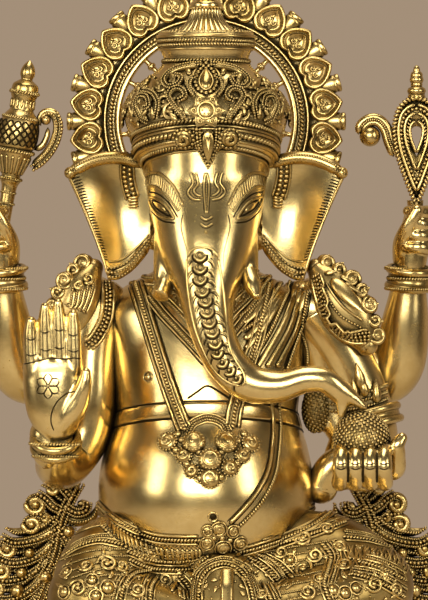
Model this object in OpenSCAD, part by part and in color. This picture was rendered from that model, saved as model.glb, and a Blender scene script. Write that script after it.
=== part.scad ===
// Seated elephant-headed idol in cast brass: a lotus base, a full-bellied figure with four arms,
// a tall crown and a spoked wheel halo behind the head. Millimetres, Z up, the figure faces -Y.
// Right and left are the figure's own, so its right side is at -X.

/* [Base] */
// Width of the plinth
base_w = 372; // [350:1:420]
// Depth of the plinth
base_d = 272; // [262:1:300]
// Height of the plinth
plinth_h = 24; // [16:1:40]
// Corner radius of the plinth
plinth_corner = 70; // [40:1:100]
// Height of the lotus seat
lotus_h = 64; // [52:1:90]
// Petals in each row of the lotus seat
petal_count = 22; // [16:2:28]
// Shank radius of the bolts that hold the figure to its base
bolt_r = 4; // [3:0.5:6]

/* [Torso] */
// Half width of the belly
belly_w = 76; // [68:1:82]
// Reach of the belly in front of the spine
belly_d = 80; // [70:1:86]
// Height of the fullest belly line above the seat
belly_z = 106; // [98:1:114]
// Half width of the chest
chest_w = 68; // [62:1:73]
// Reach of the chest in front of the spine
chest_d = 57; // [50:1:62]
// Height of the shoulder line above the seat
shoulder_z = 234; // [226:1:244]
// Half width across the shoulders
shoulder_w = 82; // [76:1:88]
// Height of the neck joint above the shoulder line
neck_h = 30; // [26:1:42]
// Radius of the neck
neck_r = 31; // [27:1:34]

/* [Head] */
// Half width of the skull at the brow
head_w = 44.5; // [40:0.5:48]
// Height of the skull from neck joint to crown seat
head_h = 90; // [84:1:98]
// Radius of the trunk at its root
trunk_r = 19; // [16:0.5:21]
// Radius of the trunk near its tip
trunk_tip_r = 7.5; // [6:0.5:9]
// Reach of each ear outward from the side of the head
ear_reach = 58; // [48:1:64]
// Height of each ear at its root
ear_h = 58; // [50:1:66]
// Thickness of each ear
ear_t = 5; // [4:0.5:7]
// Length of the whole tusk
tusk_len = 30; // [24:1:38]
// Length of the broken tusk
stub_len = 18; // [14:1:24]

/* [Crown] */
// Largest half width of the crown dome
dome_r = 58; // [52:1:62]
// Height of the crown dome
dome_h = 54; // [48:1:62]
// Radius of the pot rim above the dome
pot_r = 33.5; // [30:0.5:36]
// Height of the pot
pot_h = 20; // [16:1:26]
// Height of the fluted bell above the pot
bell_h = 20; // [16:1:26]
// Number of flutes round the bell
flute_count = 26; // [18:2:34]
// Height of the bud at the top
finial_h = 34; // [26:1:44]

/* [Halo] */
// Radius of the clear opening inside the wheel rim
halo_r = 62.5; // [60:0.5:68]
// Width of the rim, measured outward
rim_w = 15; // [12:0.5:18]
// Number of heart leaves round the rim
leaf_count = 22; // [18:1:22]
// Length of each heart leaf
leaf_len = 27; // [23:0.5:30]
// Number of spokes
spoke_count = 20; // [12:2:24]
// Radius of each spoke
spoke_r = 1.9; // [1.5:0.1:2.6]

/* [Arms] */
// Radius of the upper arms
arm_r = 20; // [17:0.5:22]
// Radius of the wrists
wrist_r = 12; // [10.5:0.5:13.5]
// Radius of the sweet held in the front left hand
sweet_r = 20; // [17:0.5:22]
// Radius of the mace pot
mace_r = 14.5; // [12:0.5:17]
// Half width of the noose loop
noose_r = 18; // [15:0.5:20]

/* [Hidden] */
$fn = 32;
seat_z = plinth_h + lotus_h;
neck_z = shoulder_z + neck_h;
neck_top = seat_z + neck_z;
crown_z = neck_top + head_h;
crown_y = -14;
dome_squash = 0.84;
fit = 0.3;
body_sides = 24;
dowel_r = 5;
bolt_spots = [[-62, 40], [62, 40], [-62, -40], [62, -40]];
brass = [0.78, 0.62, 0.30];
antique = [0.62, 0.47, 0.22];
pale = [0.84, 0.72, 0.42];
steel = [0.6, 0.6, 0.6];

// Height above the seat, half width, front reach, back reach and centre line of each torso section.
torso_rows = [
    [12, belly_w - 17, belly_d - 26, 58, 0],
    [58, belly_w - 3, belly_d - 7, 66, 0],
    [belly_z, belly_w, belly_d, 68, 0],
    [(belly_z + shoulder_z) / 2 - 14, chest_w - 3, chest_d + 12, 62, 0],
    [(belly_z + shoulder_z) / 2 + 18, chest_w, chest_d + 1, 58, 0],
    [shoulder_z - 20, shoulder_w - 11, chest_d - 6, 54, 0],
    [shoulder_z, shoulder_w - 8, chest_d - 13, 46, 2],
    [shoulder_z + 15, (shoulder_w + neck_r) / 2 + 1, chest_d - 20, 40, 3],
    [neck_z, neck_r, 29, 33, 4],
];

// Height above the neck joint, half width, front reach, back reach and centre line of the skull.
skull_rows = [
    [0, neck_r, 29, 33, 4],
    [16, head_w - 9, 42, 42, -4],
    [36, head_w - 5, 49, 47, -10],
    [56, head_w - 2, 50, 48, -12],
    [head_h - 16, head_w, 48, 46, crown_y],
    [head_h, head_w, 48, 46, crown_y],
];

// Centre, half width and half depth of the trunk, taken from the neck joint.
trunk_rows = [
    [0, -30, 68, 33, 26],
    [0, -46, 36, trunk_r + 7, 23],
    [0, -59, 10, trunk_r, 20],
    [1, -69, -15, trunk_r - 2.5, 18],
    [4, -77, -40, trunk_r - 4, 16],
    [14, -81, -63, trunk_r - 5, 14],
    [30, -83, -78, trunk_r - 5.5, 13],
    [49, -84, -80, trunk_r - 7.5, 11.5],
    [68, -85, -75, trunk_tip_r + 1.5, 9],
    [82, -85, -76, trunk_tip_r, 8],
    [90, -84, -82, trunk_tip_r, 7.5],
    [97, -83, -88, trunk_tip_r - 0.5, 6.5],
    [100, -83, -91, trunk_tip_r - 2.5, 4],
];

shoulder_at = [shoulder_w - 6, 2, seat_z + shoulder_z - 2];
rear_shoulder_at = [shoulder_w, 26, seat_z + shoulder_z];
// Centre and radius of each arm, taken from its shoulder and drawn for the left side.
front_arm_rows = [
    [0, 0, 0, arm_r + 3],
    [6, -9, -28, arm_r + 1.5],
    [9, -14, -58, arm_r],
    [14, -15, -86, arm_r - 1],
    [22, -23, -104, arm_r - 1],
    [27, -42, -107, arm_r - 3],
    [28, -60, -100, wrist_r + 2],
    [28, -71, -84, wrist_r],
];
holding_arm_rows = [
    [0, 0, 0, arm_r + 3],
    [18, 2, -28, arm_r + 1.5],
    [34, 4, -60, arm_r],
    [42, 2, -86, arm_r - 1],
    [42, -14, -101, arm_r - 2],
    [38, -34, -105, wrist_r + 3],
    [34, -52, -106, wrist_r],
];
rear_arm_rows = [
    [0, 0, 0, arm_r + 2],
    [18, 6, -24, arm_r + 1],
    [34, 10, -46, arm_r + 0.5],
    [48, 9, -53, arm_r],
    [58, 4, -40, arm_r - 0.5],
    [62, -2, -12, arm_r - 3],
    [64, -6, 12, wrist_r + 1],
    [65, -8, 28, wrist_r],
];
palm_at = tip_of(front_arm_rows, shoulder_at);
cup_at = tip_of(holding_arm_rows, shoulder_at);
fist_at = tip_of(rear_arm_rows, rear_shoulder_at);
sweet_at = [cup_at[0] - 3, cup_at[1] - 31, cup_at[2] + 1 + sweet_r];
halo_y = crown_y + 66;
halo_z = crown_z + 13;

// Curves through rows of numbers, and the end of a limb.
function xyz(r) = [r[0], r[1], r[2]];
function tip_of(rows, at) = xyz(rows[len(rows) - 1]) + at;
function mirrored(p) = [-p[0], p[1], p[2]];
function cubic(a, b, c, d, t) =
    0.5 * (2 * b + (c - a) * t + (2 * a - 5 * b + 4 * c - d) * t * t + (3 * b - a - 3 * c + d) * t * t * t);
function between(rows, i, t) =
    cubic(rows[max(i - 1, 0)], rows[i], rows[i + 1], rows[min(i + 2, len(rows) - 1)], t);
function along(rows, u) =
    let (i = min(floor(u), len(rows) - 2)) between(rows, i, u - i);
function at_height(rows, z) =
    let (
        found = [for (k = [0:len(rows) - 2]) if (z >= rows[k][0] && z <= rows[k + 1][0]) k],
        i = len(found) > 0 ? found[0] : (z < rows[0][0] ? 0 : len(rows) - 2),
        t = min(1, max(0, (z - rows[i][0]) / (rows[i + 1][0] - rows[i][0])))
    ) between(rows, i, t);
function unit(v) = v / norm(v);

// One flat section of a body: an oval with its own front and back reach, grown by g.
function oval(row, z, sides, g = 0) = [
    for (k = [0:sides - 1]) let (a = 360 * k / sides) [
        (row[1] + g) * cos(a),
        row[4] + (sin(a) < 0 ? row[2] + g : row[3] + g) * sin(a),
        z,
    ]
];
function body_rings(rows, base, z0, z1, steps, sides, g = 0) = [
    for (k = [0:steps]) let (z = z0 + (z1 - z0) * k / steps) oval(at_height(rows, z), base + z, sides, g)
];
// Points of the torso skin: x across, z above the seat.
function on_torso(x, z, lift = 0) =
    let (r = at_height(torso_rows, z), s = min(0.98, abs(x / r[1])))
    [x, r[4] - (r[2] + lift) * sqrt(1 - s * s), seat_z + z];
function round_torso(a, z, lift = 0) =
    let (r = at_height(torso_rows, z))
    [(r[1] + lift) * cos(a), r[4] + ((sin(a) < 0 ? r[2] : r[3]) + lift) * sin(a), seat_z + z];

// Rings of a limb: each row is a centre with one or two radii.
function limb_ring(rows, u, sides, ref) =
    let (
        last = len(rows) - 1,
        p = along(rows, u),
        t = unit(xyz(along(rows, min(u + 0.05, last))) - xyz(along(rows, max(u - 0.05, 0)))),
        across = unit(cross(ref, t)),
        deep = cross(t, across),
        ra = p[3],
        rb = len(p) > 4 ? p[4] : p[3]
    ) [for (k = [0:sides - 1]) let (a = 360 * k / sides) xyz(p) + ra * cos(a) * across + rb * sin(a) * deep];
function limb_rings(rows, steps, sides, ref) =
    [for (k = [0:steps]) limb_ring(rows, k * (len(rows) - 1) / steps, sides, ref)];

// Closed skin over rings of equal count; a hoop joins its last ring to its first.
module skin(rings, hoop = false) {
    n = len(rings[0]);
    m = len(rings);
    sides = [
        for (i = [0:(hoop ? m - 1 : m - 2)], k = [0:n - 1])
            let (a = i * n + k, b = i * n + (k + 1) % n, j = (i + 1) % m, c = j * n + k, d = j * n + (k + 1) % n)
                each [[a, d, b], [a, c, d]]
    ];
    caps = hoop ? [] : [[for (k = [0:n - 1]) k], [for (k = [n - 1:-1:0]) (m - 1) * n + k]];
    polyhedron(points = [for (r = rings) each r], faces = concat(sides, caps));
}
module limb(rows, steps, sides, ref = [0, 1, 0.2]) {
    skin(limb_rings(rows, steps, sides, ref));
}
// A sculpted form with its neighbours cut away, so that it seats on them.
module seated() {
    resize([0, 0, 0]) difference() {
        children(0);
        children([1:$children - 1]);
    }
}
module ball(at, r, n = 12) {
    translate(at) sphere(r, $fn = n);
}
module chain(points, radii, n = 10) {
    for (i = [0:len(points) - 2]) {
        hull() {
            ball(points[i], radii[i], n);
            ball(points[i + 1], radii[i + 1], n);
        }
    }
}
module on_side(side) {
    if (side > 0) children();
    else mirror([1, 0, 0]) children();
}

// Base.
module plinth_outline(inset) {
    w = base_w - 2 * inset;
    d = base_d - 2 * inset;
    c = plinth_corner - inset;
    square([w - 2 * c, d], center = true);
    square([w, d - 2 * c], center = true);
    for (x = [-1, 1], y = [-1, 1]) translate([x * (w / 2 - c), y * (d / 2 - c)]) circle(c);
}
module bolt_holes(r, z0, z1) {
    for (p = bolt_spots) translate([p[0], p[1], z0]) cylinder(r = r, h = z1 - z0);
}
module plinth() {
    color(antique) difference() {
        union() {
            linear_extrude(plinth_h * 0.36) plinth_outline(0);
            translate([0, 0, plinth_h * 0.36]) linear_extrude(plinth_h * 0.3) plinth_outline(7);
            translate([0, 0, plinth_h * 0.66]) linear_extrude(plinth_h * 0.34) plinth_outline(2);
        }
        bolt_holes(bolt_r + fit, -1, plinth_h + 1);
        bolt_holes(bolt_r * 2.1, -1, bolt_r * 1.6);
    }
}
// A petal is a leaning pointed leaf with a raised middle.
function ogive(wide, len, t) = [wide / 2 * cos(90 * pow(t, 1.6)) * (0.8 + 0.9 * t * (1 - t)), len * t];
module leaf(wide, len) {
    half = [for (k = [0:6]) ogive(wide, len, k / 6)];
    polygon(concat(half, [for (k = [5:-1:0]) [-half[k][0], half[k][1]]]));
}
module petal_row(inset, len, lean, phase) {
    wide = 3.1 * (base_w / 2 + base_d / 2 - 2 * inset) / petal_count;
    for (k = [0:petal_count - 1]) {
        a = 360 * (k + phase) / petal_count;
        rx = base_w / 2 - inset;
        ry = base_d / 2 - inset;
        n = atan2(sin(a) * rx, cos(a) * ry);
        translate([rx * cos(a), ry * sin(a), 0]) rotate([0, 0, n + 90]) rotate([90 + lean, 0, 0]) {
            translate([0, 0, -9]) linear_extrude(13) leaf(wide, len);
            translate([0, len * 0.12, 0]) linear_extrude(7) leaf(wide * 0.6, len * 0.66);
        }
    }
}
module drum(inset, h) {
    resize([base_w - 2 * inset, base_d - 2 * inset, h]) cylinder(r = 1, h = 1, $fn = 32);
}
module lotus_form() {
    waist = plinth_h + lotus_h * 0.46;
    translate([0, 0, plinth_h]) drum(26, lotus_h);
    translate([0, 0, waist]) petal_row(28, lotus_h * 0.5, 15, 0);
    translate([0, 0, waist]) mirror([0, 0, 1]) petal_row(26, lotus_h * 0.42, 17, 0.5);
    translate([0, 0, waist - 4]) drum(21, 8);
    translate([0, 0, plinth_h]) drum(13, 3);
}
module lotus_seat() {
    color(antique) difference() {
        lotus_form();
        bolt_holes(bolt_r + fit, plinth_h - 1, seat_z + 1);
    }
}
module base_bolts() {
    color(steel) for (p = bolt_spots) translate([p[0], p[1], 0]) {
        translate([0, 0, bolt_r * 0.5]) cylinder(r = bolt_r * 1.8, h = bolt_r * 1.1, $fn = 6);
        translate([0, 0, bolt_r * 1.6]) cylinder(r = bolt_r, h = seat_z + 18 - bolt_r * 1.6);
    }
}

// Lower body.
right_knee = [78, -78, 36];
left_knee = [114, -50, 40];
module leg_form(side, knee, ankle) {
    on_side(side) {
        chain([[36, -24, 46], [16 + knee[0] * 0.6, knee[1] * 0.6, 50], knee], [45, 41, 33], 8);
        chain([knee, [knee[0] * 0.5, -84, 27], ankle], [31, 24, 19], 6);
    }
}
module lap_form() {
    intersection() {
        translate([0, 0, seat_z]) {
            leg_form(1, left_knee, [6, -84, 24]);
            leg_form(-1, right_knee, [10, -86, 22]);
            hull() {
                ball([-40, 22, 40], 50, 8);
                ball([40, 22, 40], 50, 8);
            }
            hull() {
                ball([-34, -34, 40], 42, 8);
                ball([34, -34, 40], 42, 8);
            }
        }
        translate([-base_w / 2, -base_d / 2, seat_z]) cube([base_w, base_d, 400]);
    }
}
module torso_form(g = 0) {
    skin(body_rings(torso_rows, seat_z, 12, neck_z, 14, body_sides, g));
}
module lap() {
    color(antique) difference() {
        seated() {
            lap_form();
            torso_form();
        }
        bolt_holes(bolt_r + fit / 2, seat_z - 1, seat_z + 19);
    }
}
module foot_form(side) {
    translate([side > 0 ? 64 : -38, side > 0 ? -106 : -113, seat_z + 15]) rotate([0, 0, side * 6]) on_side(side) {
        hull() {
            ball([-22, 4, 2], 13, 8);
            scale([1, 0.75, 1]) ball([14, 0, -1], 14, 8);
        }
        for (k = [0:4]) {
            hull() {
                ball([20, -2, -7 + 4.6 * k], 4.4, 5);
                ball([32 - 2.4 * abs(k - 2.6), -3, -8 + 4.9 * k], k == 4 ? 4.6 : 3.6, 5);
            }
        }
    }
}
module foot(side) {
    color(brass) seated() {
        foot_form(side);
        lap_form();
        apron_form();
        translate([-base_w / 2, -base_d / 2, 0]) cube([base_w, base_d, seat_z]);
    }
}
module right_foot() {
    foot(1);
}
module left_foot() {
    foot(-1);
}
module apron_form() {
    translate([0, 0, seat_z]) limb([
        [10, 8 - belly_d, 66, 15, 7], [11, -4 - belly_d, 58, 19, 7], [13, -97, 44, 22, 7], [15, -106, 24, 24, 6],
        [16, -108, -4, 26, 5],
    ], 6, 8, [0, 1, 0]);
}
module apron() {
    color(antique) seated() {
        apron_form();
        lap_form();
        torso_form();
        belt_form();
        buckle_form();
        translate([-base_w / 2, -base_d / 2, 0]) cube([base_w, base_d, seat_z]);
    }
}

// Torso and what lies on it.
module torso() {
    color(brass) difference() {
        torso_form();
        for (s = [-1, 1]) {
            translate([s * (shoulder_at[0] - 22), shoulder_at[1], shoulder_at[2] - 4]) rotate([0, s * 90, 0])
                cylinder(r = dowel_r + fit, h = 60);
            translate([s * (rear_shoulder_at[0] - 34), rear_shoulder_at[1] + 7, rear_shoulder_at[2] - 6])
                rotate([0, s * 90, 0]) cylinder(r = dowel_r + fit, h = 60);
        }
        translate([0, 4, neck_top - 24]) cylinder(r = dowel_r * 2 + fit, h = 30);
    }
}
function belt_z(a) = 99 - 26 * pow(max(0, -sin(a)), 1.4);
belt_rows = [for (k = [0:16]) let (a = 172 + 196 * k / 16) concat(round_torso(a, belt_z(a) + 2, 1.5), [4.5, 8])];
module belt_form() {
    limb(belt_rows, 13, 6, [0, 0, 1]);
}
module waist_belt() {
    color(antique) seated() {
        belt_form();
        torso_form();
        lap_form();
    }
}
buckle_at = on_torso(7, 77, 3);
module buckle_form() {
    translate(buckle_at) rotate([62, 0, 0]) {
        for (k = [0:5]) rotate([0, 0, 60 * k]) translate([7.5, 0, 0]) scale([6, 5, 5]) sphere(1, $fn = 6);
        scale([5, 5, 7]) sphere(1, $fn = 8);
    }
}
module belt_flower() {
    color(pale) seated() {
        buckle_form();
        torso_form();
        belt_form();
    }
}
band_z = (belly_z + shoulder_z) / 2 - 14;
module band_form() {
    skin([for (z = [band_z - 9, band_z, band_z + 9]) oval(at_height(torso_rows, z), seat_z + z, body_sides, 2.4)]);
}
module chest_band() {
    color(antique) seated() {
        band_form();
        torso_form();
    }
}
strap_spots = [[45, 236], [42, 222], [36, 203], [28, 178], [18, 158], [12, 148]];
module strap_form(side) {
    limb([for (p = strap_spots) concat(on_torso(side * p[0], p[1], 1.4), [5.6, 3])], 7, 6, [0, 1, 0]);
}
module garland_strap(side) {
    color(pale) seated() {
        strap_form(side);
        torso_form();
        band_form();
        pendant_form();
    }
}
module right_garland_strap() {
    garland_strap(-1);
}
module left_garland_strap() {
    garland_strap(1);
}
pendant_z = 139;
module pendant_form() {
    for (k = [0:4]) {
        a = 180 + 45 * k;
        translate(on_torso(5 + 25 * cos(a), pendant_z + 3 + 19 * sin(a), 0)) scale([11, 6, 11]) sphere(1, $fn = 6);
    }
    for (k = [-1:1]) {
        translate(on_torso(5 + 13 * k, pendant_z + 6, 0)) scale([8.5, 7, 9]) sphere(1, $fn = 6);
    }
    translate(on_torso(5, pendant_z - 6, 0)) scale([10, 6, 9]) sphere(1, $fn = 6);
}
module pendant() {
    color(pale) seated() {
        pendant_form();
        torso_form();
        band_form();
    }
}
thread_spots = [[48, 172], [51, 143], [46, 118], [34, 97], [22, 84]];
thread_rows = [for (p = thread_spots) concat(on_torso(p[0], p[1], 1.4), [4.4, 2.6])];
module thread_form() {
    limb(thread_rows, 12, 6, [0, 1, 0]);
}
module sacred_thread() {
    color(antique) seated() {
        thread_form();
        torso_form();
        band_form();
        shawl_form();
        belt_form();
        buckle_form();
    }
}
// Pleats fan down from the left shoulder to a hem across the chest.
module shawl_form() {
    for (k = [0:2]) {
        spots = [[58 + 3 * k, 238 - 6 * k], [52 + 6 * k, 216 - 8 * k], [44 + 11 * k, 188 - 6 * k]];
        limb([for (p = spots) concat(on_torso(p[0], p[1], 0.8), [7.4, 3.4])], 3, 6, [0, 1, 0]);
    }
    hem = [[39, 188], [55, 182], [71, 174]];
    limb([for (p = hem) concat(on_torso(p[0], p[1], 0.8), [3.6, 3.8])], 3, 6, [0, 1, 0]);
}
module shawl_pleats() {
    color(antique) seated() {
        shawl_form();
        torso_form();
        strap_form(1);
        arm_form(1);
        band_form();
    }
}
module neck_collar() {
    color(pale) seated() {
        skin([for (z = [neck_z - 15, neck_z - 10, neck_z - 5]) oval(at_height(torso_rows, z), seat_z + z, body_sides, 4)]);
        torso_form();
        head_form();
    }
}
// A leaf plate laid over the outer front of each shoulder, with scroll bosses along its outer edge.
left_plate = [[2, -12, 30, 7, 7], [14, -20, 14, 15, 8], [27, -21, -6, 16, 8], [38, -17, -24, 8, 7]];
right_plate = [[4, -12, 30, 7, 7], [12, -20, 14, 14, 8], [20, -21, -6, 15, 8], [25, -18, -25, 8, 7]];
module plate_form(side) {
    rows = side > 0 ? left_plate : right_plate;
    on_side(side) translate(shoulder_at) {
        limb(rows, 6, 8, [0, 1, 0]);
        for (k = [0:3]) {
            q = along(rows, 0.3 + 0.85 * k);
            ball([q[0] + 0.8 * q[3], q[1] + 2, q[2] + 0.55 * q[3]], 8, 6);
        }
    }
}
module shoulder_plate(side) {
    color(antique) seated() {
        plate_form(side);
        torso_form();
        arm_form(side);
        rear_arm_form(side);
        strap_form(side);
        if (side > 0) shawl_form();
    }
}
module right_shoulder_plate() {
    shoulder_plate(-1);
}
module left_shoulder_plate() {
    shoulder_plate(1);
}

// Arms and hands.
module arm_form(side) {
    rows = side > 0 ? holding_arm_rows : front_arm_rows;
    on_side(side) translate(shoulder_at) limb(rows, 12, 10, [1, 0.1, 0.1]);
}
module rear_arm_form(side) {
    on_side(side) translate(rear_shoulder_at) limb(rear_arm_rows, 12, 10, [0.1, 1, 0]);
}
module shoulder_dowel(side, at, start) {
    on_side(side) translate([start, at[1], at[2]]) rotate([0, 90, 0]) cylinder(r = dowel_r, h = at[0] + 8 - start);
}
module front_arm(side) {
    color(brass) union() {
        seated() {
            arm_form(side);
            torso_form();
        }
        shoulder_dowel(side, shoulder_at - [0, 0, 4], shoulder_at[0] - 21);
    }
}
module rear_arm(side) {
    color(brass) union() {
        seated() {
            rear_arm_form(side);
            torso_form();
            arm_form(side);
        }
        shoulder_dowel(side, rear_shoulder_at + [0, 7, -6], rear_shoulder_at[0] - 33);
    }
}
module front_right_arm() {
    front_arm(-1);
}
module front_left_arm() {
    front_arm(1);
}
module rear_right_arm() {
    rear_arm(-1);
}
module rear_left_arm() {
    rear_arm(1);
}
// Right hand raised with its open palm to the front.
finger_x = [-18.5, -8.7, 1.2, 11.2];
finger_len = [30, 39, 41, 34];
module palm_form() {
    translate(mirrored(palm_at)) {
        hull() {
            ball([0, -1, 8], 10.5, 9);
            scale([1, 0.5, 1]) ball([-13, -2, 38], 12.5, 9);
            scale([1, 0.5, 1]) ball([8, -2, 38], 12.5, 9);
        }
        for (k = [0:3]) {
            f = finger_len[k];
            chain([[finger_x[k], -2, 44], [finger_x[k], 0, 46 + f * 0.55], [finger_x[k], 1, 46 + f]], [5.8, 5.6, 4.6], 6);
        }
        chain([[11, -5, 14], [19, -10, 34], [20, -12, 54]], [8, 6.6, 4.8], 6);
    }
}
module front_right_hand() {
    color(brass) seated() {
        palm_form();
        arm_form(-1);
    }
}
// Left hand cupped under the sweet.
module sweet_form(g = 0) {
    translate(sweet_at) sphere(sweet_r + g, $fn = g > 0 ? 16 : 32);
}
module cup_form() {
    translate(cup_at) {
        hull() {
            ball([0, 2, 0], wrist_r - 1, 7);
            scale([1, 1, 0.55]) ball([-14, -30, -4], 14, 8);
            scale([1, 1, 0.55]) ball([8, -30, -4], 15, 8);
        }
        for (k = [0:3]) {
            x = -23 + 12.2 * k;
            chain([[x * 0.8, -32, -8], [x, -53, -4], [x * 0.92, -51, 18]], [6.6, 6.6, 4.6], 6);
        }
        chain([[15, -20, -2], [21.5, -36, 14], [18.5, -44, 29]], [7.5, 6.2, 4.6], 6);
    }
}
module front_left_hand() {
    color(brass) seated() {
        cup_form();
        sweet_form(0.6);
        arm_form(1);
    }
}
module sweet() {
    color(antique) sweet_form();
}
// Rear hands closed round what they hold.
module fist_form(side) {
    on_side(side) translate(fist_at) {
        hull() {
            ball([0, 0, 2], wrist_r - 1, 7);
            scale([1, 0.8, 1]) ball([3, 4, 24], 15, 8);
        }
        for (k = [0:3]) {
            z = 12 + 8.4 * k;
            chain([[13, 0, z], [11, -13, z + 1], [-3, -16, z + 1.5]], [5.6, 5.4, 4.4], 5);
        }
        chain([[-11, 0, 16], [-12, -10, 32], [-5, -13, 45]], [6.4, 5.6, 4.2], 5);
    }
}
grip = [0, -6, 24];
held_lean = [9.5, 1];
module at_grip(side) {
    translate((side > 0 ? fist_at : mirrored(fist_at)) + [side * grip[0], grip[1], grip[2]])
        rotate([0, side > 0 ? -held_lean[1] : held_lean[0], 0]) children();
}
module rear_hand(side) {
    color(brass) seated() {
        fist_form(side);
        rear_arm_form(side);
        at_grip(side) translate([0, 0, -40]) cylinder(r = 4.7, h = 120, $fn = 10);
        if (side < 0) at_grip(side) mace_head();
        else at_grip(side) noose_head();
    }
}
module rear_right_hand() {
    rear_hand(-1);
}
module rear_left_hand() {
    rear_hand(1);
}
module mace_head() {
    rotate_extrude() polygon([
        [0, 20], [6.5, 22], [7.5, 28], [6, 32], [8, 38], [9.5, 46], [mace_r - 4, 52], [mace_r, 58],
        [mace_r, 80], [mace_r - 2, 86], [mace_r - 6.5, 89], [mace_r - 6, 94], [mace_r - 3.5, 97],
        [mace_r - 5, 101], [5.5, 105], [5.5, 110], [3, 117], [0, 122],
    ]);
}
module mace() {
    color(pale) at_grip(-1) {
        mace_head();
        translate([0, 0, -21]) cylinder(r = 4.4, h = 43);
    }
}
module axe_blade() {
    rim = [for (k = [0:10]) let (a = -62 + 124 * k / 10) [mace_r + 3 + 15 * cos(a), 70 + 25 * sin(a)]];
    back = [for (k = [0:6]) let (a = 40 - 80 * k / 6) [mace_r - 7 + 6.6 * cos(a), 70 + 11 * sin(a)]];
    color(pale) difference() {
        at_grip(-1) translate([0, 2.5, 0]) rotate([90, 0, 0]) linear_extrude(5) polygon(concat(rim, back));
        at_grip(-1) mace_head();
    }
}
function drop(r, h, k, n) =
    let (a = 360 * k / n) [r * sin(a) * pow(sin(a / 2), 0.7), h / 2 - h / 2 * cos(a)];
module noose_outline(r, h, z) {
    translate([0, z]) polygon([for (k = [0:27]) drop(r, h, k, 28)]);
}
module noose_head() {
    translate([0, 0, 14]) cylinder(r1 = 6, r2 = 7, h = 14);
    translate([0, 4.5, 0]) rotate([90, 0, 0]) linear_extrude(9) difference() {
        translate([0, 99]) mirror([0, 1]) noose_outline(noose_r * 1.22, 77, 0);
        translate([0, 83]) mirror([0, 1]) noose_outline(noose_r * 0.3, 30, 0);
    }
}
module noose() {
    color(pale) at_grip(1) {
        noose_head();
        translate([0, 0, -21]) cylinder(r = 4.4, h = 37);
        translate([0, 0, 95]) rotate_extrude() polygon([[0, 0], [6, 0], [7, 4], [4, 8], [5, 13], [2, 20], [0, 21]]);
        translate([-noose_r * 0.6, 0, 60]) rotate([0, -60, 0]) cylinder(r = 3.5, h = 18);
        translate([-noose_r * 0.6 - 19, 0, 71]) sphere(8.5);
    }
}
// Bracelets at the wrists and armlets on the front upper arms.
function limb_at(rows, u) =
    [xyz(along(rows, u)), unit(xyz(along(rows, u + 0.04)) - xyz(along(rows, u - 0.04))), along(rows, u)[3]];
// A ring with two rounded edges and a low band between, bored to the limb that wears it.
module ring_round(side, at, rows, u, half, loose = 0.3) {
    q = limb_at(rows, u);
    bore = max(along(rows, u - 0.35)[3], along(rows, u + 0.35)[3]) + loose;
    color(pale) on_side(side) translate(at + q[0]) rotate([0, acos(q[1][2]), atan2(q[1][1], q[1][0])])
        rotate_extrude() {
            translate([bore, -half]) square([2.2, 2 * half]);
            for (z = [-half, half]) intersection() {
                translate([bore + 1.6, z]) circle(2.9);
                translate([bore, z - 4]) square(8);
            }
        }
}
module front_right_bracelet() {
    ring_round(-1, shoulder_at, front_arm_rows, 6.66, 3.6);
}
module front_left_bracelet() {
    ring_round(1, shoulder_at, holding_arm_rows, 5.5, 5);
}
module rear_right_bracelet() {
    ring_round(-1, rear_shoulder_at, rear_arm_rows, 6.4, 6);
}
module rear_left_bracelet() {
    ring_round(1, rear_shoulder_at, rear_arm_rows, 6.4, 6);
}
module front_left_armlet() {
    ring_round(1, shoulder_at, holding_arm_rows, 2.7, 4.5, 1.3);
}

// Head.
module trunk_form() {
    translate([0, 0, neck_top]) {
        limb(trunk_rows, 18, 10, [0, 1, 0.3]);
        hull() {
            ball([98, -83, -86], 5, 6);
            ball([107, -83, -93], 3.2, 6);
        }
        hull() {
            ball([96, -83, -88], 5, 6);
            ball([94, -83, -97], 3.2, 6);
        }
    }
}
module skull_form() {
    skin(body_rings(skull_rows, neck_top, 0, head_h, 6, body_sides));
}
module head_form() {
    skull_form();
    trunk_form();
    translate([0, 0, neck_top]) for (s = [-1, 1]) on_side(s) {
        hull() {
            ball([26, -34, 22], 14, 7);
            ball([27, -50, s < 0 ? -5 : 0], 9.5, 7);
        }
        chain([[42, -42, 63], [33, -54, 62], [22, -60, 52], [16, -62, 37]], [3, 5, 5, 3], 5);
        translate([31, -50, 41]) rotate([0, 24, -26]) scale([11, 5.5, 6.5]) sphere(1, $fn = 8);
    }
}
module head() {
    color(brass) union() {
        resize([0, 0, 0]) head_form();
        translate([0, 4, neck_top - 23]) cylinder(r = dowel_r * 2, h = 30);
    }
}
module tusk(side, z, len, tip) {
    color(pale) seated() {
        translate([side * 27, -50, neck_top + z]) rotate([135, 0, side * 24])
            cylinder(r1 = 6.6, r2 = tip, h = 8 + len, $fn = 16);
        head_form();
    }
}
module right_tusk() {
    tusk(-1, -7, stub_len - 8, 5.2);
}
module left_tusk() {
    tusk(1, 1, tusk_len - 8, 2.4);
}
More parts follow.
